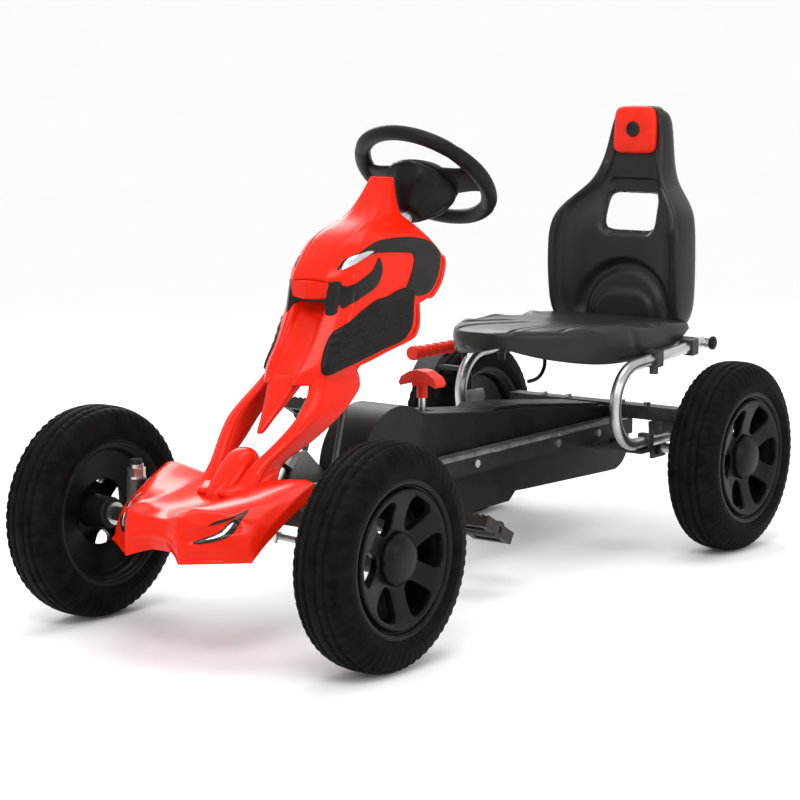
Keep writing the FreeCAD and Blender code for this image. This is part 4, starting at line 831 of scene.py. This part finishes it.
# Outlines of the side trim: Y and height.
VENT = [(142, 352), (133, 354), (134, 364), (141, 378), (154, 399), (165, 411), (188, 424), (220, 438), (244, 446),
        (270, 449), (292, 455), (314, 457), (328, 449), (327, 432), (326, 410), (318, 393), (298, 382), (258, 375),
        (210, 365), (171, 358)]
HOOK = [(184, 491.5), (192, 500), (203, 508), (235, 519), (257, 525), (288, 528), (338, 527), (376, 520), (396, 510),
        (403, 498), (400, 485), (394, 472), (384, 457), (369, 447), (349, 443), (324, 446), (312, 454), (320, 466),
        (332, 484), (338, 499), (328, 505), (279, 509.5), (246, 509.5), (206, 501), (190, 494)]
SWOOSH = [(178, 475), (183, 472), (189, 469), (198, 472), (219, 479), (238, 487), (251, 498), (258, 504), (262, 494),
          (259, 480), (243, 464), (215, 454), (190, 445), (183, 440), (179, 441), (179, 458)]
STREAK = [(188, 492), (196, 502), (209, 509.5), (233, 514), (249, 513), (234, 508), (210, 501), (196, 495)]
FLANGE = [(150, 353), (212, 359.5), (275, 373), (328, 384), (341, 396), (344, 412), (344, 434), (360, 440),
          (377, 440.5), (398, 458), (411, 482), (409, 495)]


def louvre(a, b):
    """Slats across the vent, each proud at its lower edge."""
    inner = step(136, 158, a) * step(326, 312, a) * step(0, 9, b - 352 - (a - 140) * 0.17) * step(449, 438, b)
    phase = ((b - a * 0.16) / 10.5) % 1
    return 2.6 * (1 - inner) + inner * 2.6 * (1 - phase)


def side_trim(tree):
    """Black vents and hooks, bright streaks and a red flange on both sides of the cowl."""
    for side in (-1, 1):
        tag = side_name(side)
        base = pt(side * 58, 0, 0)
        args = (base, Vector((0, 1, 0)), Vector((0, 0, 1)), Vector((side, 0, 0)), tree)
        first = ["fairing_panels"] if side > 0 else []
        inlay("side_vent_" + tag, VENT, *args, BLACK_SATIN, 0.7, 6, 2.4, first, "black_trim", louvre)
        inlay("side_hook_" + tag, HOOK, *args, BLACK_GLOSS, 1.0, 5, 4, (), "black_trim", rounding=0.9)
        inlay("side_swoosh_" + tag, SWOOSH, *args, BLACK_GLOSS, 1.2, 3.4, 5, (), "black_trim")
        inlay("side_streak_" + tag, STREAK, *args, LAMP_SILVER, 1.5, 2.0, 3, (), "chrome", rounding=0.4)
        line = []
        for p in smooth_line([(0, a, b) for a, b in FLANGE], 6):
            width = lerp([(r[0], r[4]) for r in COWL], p.z)[0]
            line.append(pt(side * (width + 0.6), p.y, p.z))
        swept("side_flange_" + tag, line, [(a * 1.0, b) for a, b in circle(2.9, 12)], RED, "chassis", (), "bright_red")


# Height, front Y, rear Y, inner X, outer X.
LEG = [(206, -34, 34, 16, 52), (218, -18, 44, 20, 49), (240, 2, 52, 25, 49), (252, 16, 74, 32, 55),
       (266, 34, 104, 40, 63), (291, 63, 142, 50, 73), (310, 88, 176, 49, 71), (328, 110, 206, 42, 65),
       (342, 121, 214, 34, 57), (352, 126, 214, 28, 53)]
# Height, front Y, rear Y, half width.
TONGUE = [(276, 57, 63, 4), (281, 59, 70, 6.5), (292, 68, 80, 9), (306, 79, 94, 14), (322, 91, 112, 19),
          (338, 101, 128, 24), (352, 112, 140, 26)]


def legs():
    """Two legs from the nose up to the cowl, and the pointed tongue between them."""
    for side in (-1, 1):
        loops = []
        for z, front, rear, x0, x1 in LEG:
            mid = (front + rear) / 2
            loop = [(x0, front + 3), (x0 + 4, front), (x1 - 12, front + 0.5), (x1 - 6, front + 4),
                    (x1 - 1, front + 10), (x1 + 1, mid), (x1, rear - 8), (x1 - 2.5, rear - 2), (x1 - 6, rear),
                    (x1 - 10, rear - 5), (x0 + (x1 - x0) * 0.3, mid + (rear - mid) * 0.35), (x0 - 1, front + 13)]
            loops.append([pt(side * x, y, z) for x, y in loop])
        red_piece("leg_" + side_name(side), loops, 2, 0.3, 28)
    loops = []
    for z, front, rear, w in TONGUE:
        loop = [(0, front - 2), (w * 0.7, front), (w, front + 3), (w, rear - 2), (w * 0.6, rear), (0, rear),
                (-w * 0.6, rear), (-w, rear - 2), (-w, front + 3), (-w * 0.7, front)]
        loops.append([pt(x, y, z) for x, y in loop])
    red_piece("tongue", loops, 2, 0.3, 35)


# Stations of the nose outwards from the middle: X and then (Y, Z) from the lower lip over the front to the rear edge.
NOSE = [
    (0, [(-137, 149), (-146, 161), (-149, 178), (-143, 192), (-122, 197), (-82, 196), (-24, 206), (8, 220)]),
    (16, [(-138, 149), (-147, 160), (-150, 178), (-144, 193), (-123, 198), (-82, 197), (-24, 207), (8, 221)]),
    (29, [(-145, 146), (-152, 159), (-154, 178), (-148, 196), (-127, 203), (-82, 200), (-24, 209), (8, 222)]),
    (40, [(-154, 142), (-157, 158), (-158, 178), (-152, 199), (-132, 208), (-82, 205), (-24, 212), (8, 223)]),
    (46, [(-158, 140), (-159, 157), (-158, 178), (-152, 200), (-131, 209), (-81, 208), (-24, 214), (8, 224)]),
    (52, [(-153, 140), (-153, 156), (-152, 176), (-146, 197), (-126, 208), (-80, 209), (-24, 216), (8, 225)]),
    (72, [(-138, 140.5), (-138, 154), (-136, 171), (-131, 190), (-113, 204), (-74, 210), (-22, 219), (9, 228)]),
    (98, [(-119, 141), (-118, 153), (-115, 167), (-110, 181), (-96, 196), (-64, 210), (-18, 224), (11, 232)]),
    (117, [(-106, 142), (-104, 152), (-101, 163), (-96, 174), (-84, 188), (-57, 205), (-14, 225), (13, 233)]),
    (122, [(-104, 143), (-98, 152), (-92, 161), (-84, 171), (-72, 182), (-50, 198), (-10, 220), (15, 230)]),
    (128, [(-104, 142.5), (-95, 149), (-86, 156), (-76, 164), (-61, 174), (-42, 187), (-10, 203), (14, 208)])]
# Lamp outlines in the plane of the nose's cheek, in mm from its middle.
LAMP = [(-36, -17), (-22, -12), (-8, -7.5), (2, -1), (9, 5.5), (19, 10.5), (34, 18), (25, 8), (19, -2), (13, -8),
        (2, -13.5), (-13, -17), (-30, -19)]
BROW = [(-16, 3.2), (-5, 5.2), (7, 8.0), (21, 13), (36, 20), (24, 16), (8, 11.5), (-8, 8)]
GLINT = [(10, 3), (16, 6.2), (13, 0.6), (6, -6), (-6, -11), (-20, -13.5), (-8, -9.4), (2, -4.6)]
# Y, half width and top of the hump on the nose.
HUMP = [(-46, 10, 208), (-34, 15, 220), (-16, 19, 236), (2, 20, 252), (18, 20, 262), (36, 18, 262), (46, 15, 252)]
# Y, X, lower and upper height of the foot under each leg.
FOOT = [(-40, 24, 204, 213), (-20, 37, 207, 218), (0, 48, 210, 224), (20, 52, 216, 232), (38, 50, 224, 241)]


def nose():
    """Nose moulding with its lamps, hump and the feet of the legs."""
    half = []
    for x, line in NOSE:
        loop = []
        for k, (y, z) in enumerate(line):
            spread = 0 if x < 120 else 9 * step(1, 7, k)
            loop.append(pt(x + spread - (4 if x > 125 else 0), y, z))
        half.append(loop)
    loops = [mirrored(loop) for loop in reversed(half[1:])] + half
    shell = lofted("nose_moulding", loops, RED, "chassis", ["nose"], "bright_red", close_loop=False, cap=False)
    bm = bmesh.new()
    bm.from_mesh(shell.data)
    layer = bm.edges.layers.float.new("crease_edge")
    for edge in bm.edges:
        if len(edge.link_faces) != 2:
            continue
        sharp = edge.calc_face_angle(0)
        edge[layer] = 0.75 if sharp > 0.5 else 0.45 if sharp > 0.3 else 0
    bm.to_mesh(shell.data)
    bm.free()
    subsurf(shell, 3)
    bake(shell)
    for v in shell.data.vertices:
        x, y, z = abs(v.co.x) / MM, (v.co.y - FRONT_Y) / MM, v.co.z / MM
        if y < -100 and 48 < x < 116:
            band = z - (160 + (x - 48) * 0.34)
            sink = 3.4 * step(12, 4, abs(band - 12)) * step(50, 58, x) * step(116, 104, x)
            pan = 2.2 * step(142, 147, z) * step(158, 153, z) * step(52, 58, x) * step(100, 92, x)
            v.co += Vector((-math.copysign(0.605, v.co.x), 0.796, 0)) * (sink + pan) * MM
        if x < 40 and y < -138 and z < 192:
            arch = math.exp(-((z - (162 + 9 * (1 - (x / 40) ** 2))) / 4.0) ** 2)
            v.co.y -= 3.2 * arch * step(42, 30, x) * MM
    shell.data.update()
    solidify(shell, 3.0, -1.0)
    bake(shell)
    shell.data.shade_smooth()
    tree = surface_tree(shell)
    for side in (-1, 1):
        tag = side_name(side)
        u = Vector((side * 75, 57, 0)).normalized()
        out = Vector((side * 57, -75, 0)).normalized()
        middle = pt(side * 88.4, -122.5, 186)
        args = (middle, u, Vector((0, 0, 1)), out, tree)
        first = ["headlights"] if side > 0 else []
        inlay("headlight_" + tag, LAMP, *args, BLACK_GLOSS, 1.2, 3, 2.5, first, "lamp", rounding=0.5)
        inlay("headlight_brow_" + tag, BROW, *args, BLACK_GLOSS, 1.0, 3, 2.5, (), "lamp", rounding=0.4)
        inlay("headlight_glint_" + tag, GLINT, *args, LAMP_SILVER, 1.9, 1.6, 2, (), "chrome", rounding=0.25)
    hump = []
    for y, w, top in HUMP:
        loop = [(w + 6, 200), (w + 3, top - 22), (w, top - 9), (w * 0.72, top - 1.5), (w * 0.3, top + 1),
                (-w * 0.3, top + 1), (-w * 0.72, top - 1.5), (-w, top - 9), (-w - 3, top - 22), (-w - 6, 200)]
        hump.append([pt(x, y, z) for x, z in loop])
    red_piece("nose_hump", hump, 2, 0.2, 40)
    for side in (-1, 1):
        skirt = []
        for y, x, low, high in FOOT:
            loop = [(x + 5, low), (x + 4, high - 4), (x - 2, high), (x - 14, high + 2), (x - 24, high), (x - 24, low)]
            skirt.append([pt(side * px, y, z) for px, z in loop])
        red_piece("leg_foot_" + side_name(side), skirt, 2, 0.3, 40)


def visor():
    """Black intake under the brow with a red peaked facet in it."""
    loops = []
    for y, w, low, high in ((168, 40.5, 440, 474), (170, 41.5, 436, 476.5), (183, 42.5, 432, 478), (202, 43, 432, 478)):
        arch = [(-w, 9, low), (-w - 1, 9, high - 8), (-w * 0.78, 4, high), (0, 0, high + 1), (w * 0.78, 4, high),
                (w + 1, 9, high - 8), (w, 9, low)]
        loops.append([pt(x, y + bend, z) for x, bend, z in arch])
    hood = lofted("visor_frame", loops, BLACK_GLOSS, "chassis", ["fairing_scoop"], "black_trim", close_loop=False,
                  cap=False)
    crease(hood, 0.4, 40)
    solidify(hood, 3.0, -1)
    smoothed(hood, 2)
    loops = []
    for w, y_up, z_up, y_low, z_low in ((33, 170, 474, 169, 454), (29, 168.5, 474, 167.5, 453),
                                        (14, 165.5, 475.5, 163.5, 451.5), (0, 163, 476, 160, 451)):
        loops.append([pt(w, y_up + 12, z_up + 1), pt(w, y_up, z_up),
                      pt(w * 1.02, (y_up + y_low) / 2 - 0.4, (z_up + z_low) / 2), pt(w, y_low, z_low),
                      pt(w * 0.96, y_low + 6, z_low - 1.5), pt(w * 0.9, y_low + 20, z_low + 1)])
    loops = loops + [mirrored(loop) for loop in reversed(loops[:-1])]
    red_piece("visor_facet", loops, 3, 0.92, 18)
    loops = []
    for x, toe, front, low, high in ((0, 171, 172, 446, 474), (24, 171, 172, 446, 474), (28, 168, 171.5, 442, 475),
                                     (33, 161, 171, 432, 475.5), (37, 163, 173.5, 430, 476),
                                     (42, 168, 178, 430, 476.5), (45, 172, 183, 432, 475)):
        loops.append([pt(x, toe, low), pt(x, front, high), pt(x, 204, high), pt(x, 204, low)])
    loops = [mirrored(loop) for loop in reversed(loops[1:])] + loops
    gap = lofted("visor_gap", loops, BLACK_GLOSS, "chassis", (), "black_trim")
    bevel(gap, 1.2, 3, 35)
    bake_smooth(gap)


tree = cowl()
side_trim(tree)
legs()
nose()
visor()

# ---- small pieces on the frame
def frame_details():
    """Grey strips laid along the tops of the black rails, widened at the four tabs: a painted highlight for the rails'
    lit top faces. Also the rod that stops the seat's slide.
    """
    for side in (-1, 1):
        # Each strip along a rail is a painted highlight, grey where the black rail's top face catches the light.
        loops = []
        for y in (235, 238, 520, 523, 524.5, 550, 552, 700, 702, 703.5, 726, 728, 905, 908):
            tab = 2.2 if y in (524.5, 550, 703.5, 726) else 0
            section = [(43, 195.2), (60.5, 195.2), (63.2 + tab, 195.2), (64.2 + tab, 193.4), (63.6 + tab, 190.4),
                       (62.3, 190.2), (62.3, 196.4), (60, 197.4), (43, 197.4)]
            loops.append([pt(side * x, y, z) for x, z in section])
        highlight_strip = lofted("rail_highlight_strip_" + side_name(side), loops, RAIL_HIGHLIGHT_GREY, "chassis", (), "black_steel")
        bevel(highlight_strip, 0.5, 2, 30)
        bake_smooth(highlight_strip)
    route = smooth_line([pt(-84, 880, 330), pt(-84, 884, 292), pt(-84, 886, 272), pt(-84, 878, 258), pt(-84, 862, 250),
                         pt(-84, 838, 248)], 10)
    swept("slide_stop_rod", route, circle(3.2, 20), PAINT, "seat", (), "black_steel", False, (1, 0, 0))


frame_details()

# ---- finishes of the CAD pieces that stay
FINISH = {
    "wheel_bushes": STEEL, "front_axle_beam": PAINT, "knuckle": PAINT, "kingpin_nut": STEEL, "tie_rod": STEEL,
    "steering_column": SILVER, "frame_rail": BLACK_SATIN, "column_support": GREY_PLATE, "rear_cross_beam": PAINT,
    "seat_frame_beam": PAINT, "seat_tube": SILVER, "seat_cross_bar": SILVER, "cross_bar_caps": BLACK_SATIN,
    "frame_bushes": BLACK_SATIN, "chain_case": BLACK_SATIN, "drive_chain": CHAIN, "chainring": CHAIN,
    "rear_sprocket": CHAIN, "rear_axle": STEEL, "crank": STEEL, "pedal": PEDAL, "shift_lever": STEEL,
    "shift_knob": RED_SOFT, "brake_lever": PAINT, "brake_grip": RED_SOFT, "brake_shoe": RUBBER, "seat_clamps": PAINT,
    "fasteners": STEEL}
for name, obj in frame["nodes"].items():
    if obj.hide_render:
        continue
    look = next((FINISH[k] for k in sorted(FINISH, key=len, reverse=True) if name.startswith(k)), BLACK_SATIN)
    obj.data.materials.clear()
    obj.data.materials.append(look)

# ---- studio
VIEW_AZIMUTH = 0.647
SWEEP_STEPS = 32
FLOOR_START, FLOOR_END, SWEEP_RADIUS, FLOOR_HALF = -9, 4, 5, 16     # metres
floor_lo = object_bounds()[0]
mesh = bpy.data.meshes.new("studio_floor")
sweep = []
for k in range(SWEEP_STEPS + 1):
    s = k / SWEEP_STEPS
    if s < 0.5:
        sweep.append((FLOOR_START + s * 2 * (FLOOR_END - FLOOR_START), 0.0))
    else:
        a = (s - 0.5) * math.pi
        sweep.append((FLOOR_END + SWEEP_RADIUS * math.sin(a), SWEEP_RADIUS - SWEEP_RADIUS * math.cos(a)))
verts = [Vector((x, y, z)) for y, z in sweep for x in (-FLOOR_HALF, FLOOR_HALF)]
turn = Matrix.Rotation(VIEW_AZIMUTH, 4, "Z")
verts = [turn @ v for v in verts]
faces = [(2 * i, 2 * i + 1, 2 * i + 3, 2 * i + 2) for i in range(len(sweep) - 1)]
mesh.from_pydata([tuple(v) for v in verts], [], faces)
mesh.shade_smooth()
floor = bpy.data.objects.new("studio_floor", mesh)
bpy.context.scene.collection.objects.link(floor)
floor.location.z = floor_lo.z - 0.0004
white = material("studio_paper", (0.96, 0.96, 0.957), 0.9, variation=0.01, scale=3, bump=0.02, bump_scale=200,
                 specular=0.1)
mesh.materials.append(white)

world = bpy.data.worlds.new("studio_world")
world.use_nodes = True
world.node_tree.nodes["Background"].inputs["Color"].default_value = (1.0, 1.0, 1.0, 1)
world.node_tree.nodes["Background"].inputs["Strength"].default_value = 0.97
bpy.context.scene.world = world


def area_light(name, spot, aim, size, power):
    data = bpy.data.lights.new(name, "AREA")
    data.shape = "RECTANGLE"
    data.size, data.size_y = size
    data.energy = power
    obj = bpy.data.objects.new(name, data)
    obj.location = spot
    obj.rotation_euler = (Vector(aim) - Vector(spot)).to_track_quat("-Z", "Y").to_euler()
    bpy.context.scene.collection.objects.link(obj)
    return obj


area_light("key", (1.1, -2.2, 2.6), (0, 0, 0.3), (1.5, 0.9), 34)
area_light("side", (2.6, -0.2, 1.3), (0, 0, 0.35), (1.2, 0.8), 12)
area_light("rear", (-1.8, 1.6, 1.8), (0, 0.1, 0.4), (1.8, 0.8), 30)
area_light("top", (0.1, 0.1, 2.6), (0, 0, 0), (1.2, 1.6), 18)

# ---- camera
azimuth, elevation, roll = VIEW_AZIMUTH, 0.153, -0.004
cam = bpy.data.cameras.new("camera")
cam.lens = 105.4
cam.sensor_width = 36
cam_obj = bpy.data.objects.new("camera", cam)
back = Vector((math.sin(azimuth) * math.cos(elevation), -math.cos(azimuth) * math.cos(elevation), math.sin(elevation)))
cam_obj.rotation_mode = "QUATERNION"
cam_obj.rotation_quaternion = back.to_track_quat("Z", "Y") @ Matrix.Rotation(roll, 3, "Z").to_quaternion()
cam_obj.location = pt(2043.2, -2328.1, 805.5)
bpy.context.scene.collection.objects.link(cam_obj)
bpy.context.scene.camera = cam_obj
bpy.context.scene.view_settings.view_transform = "Standard"
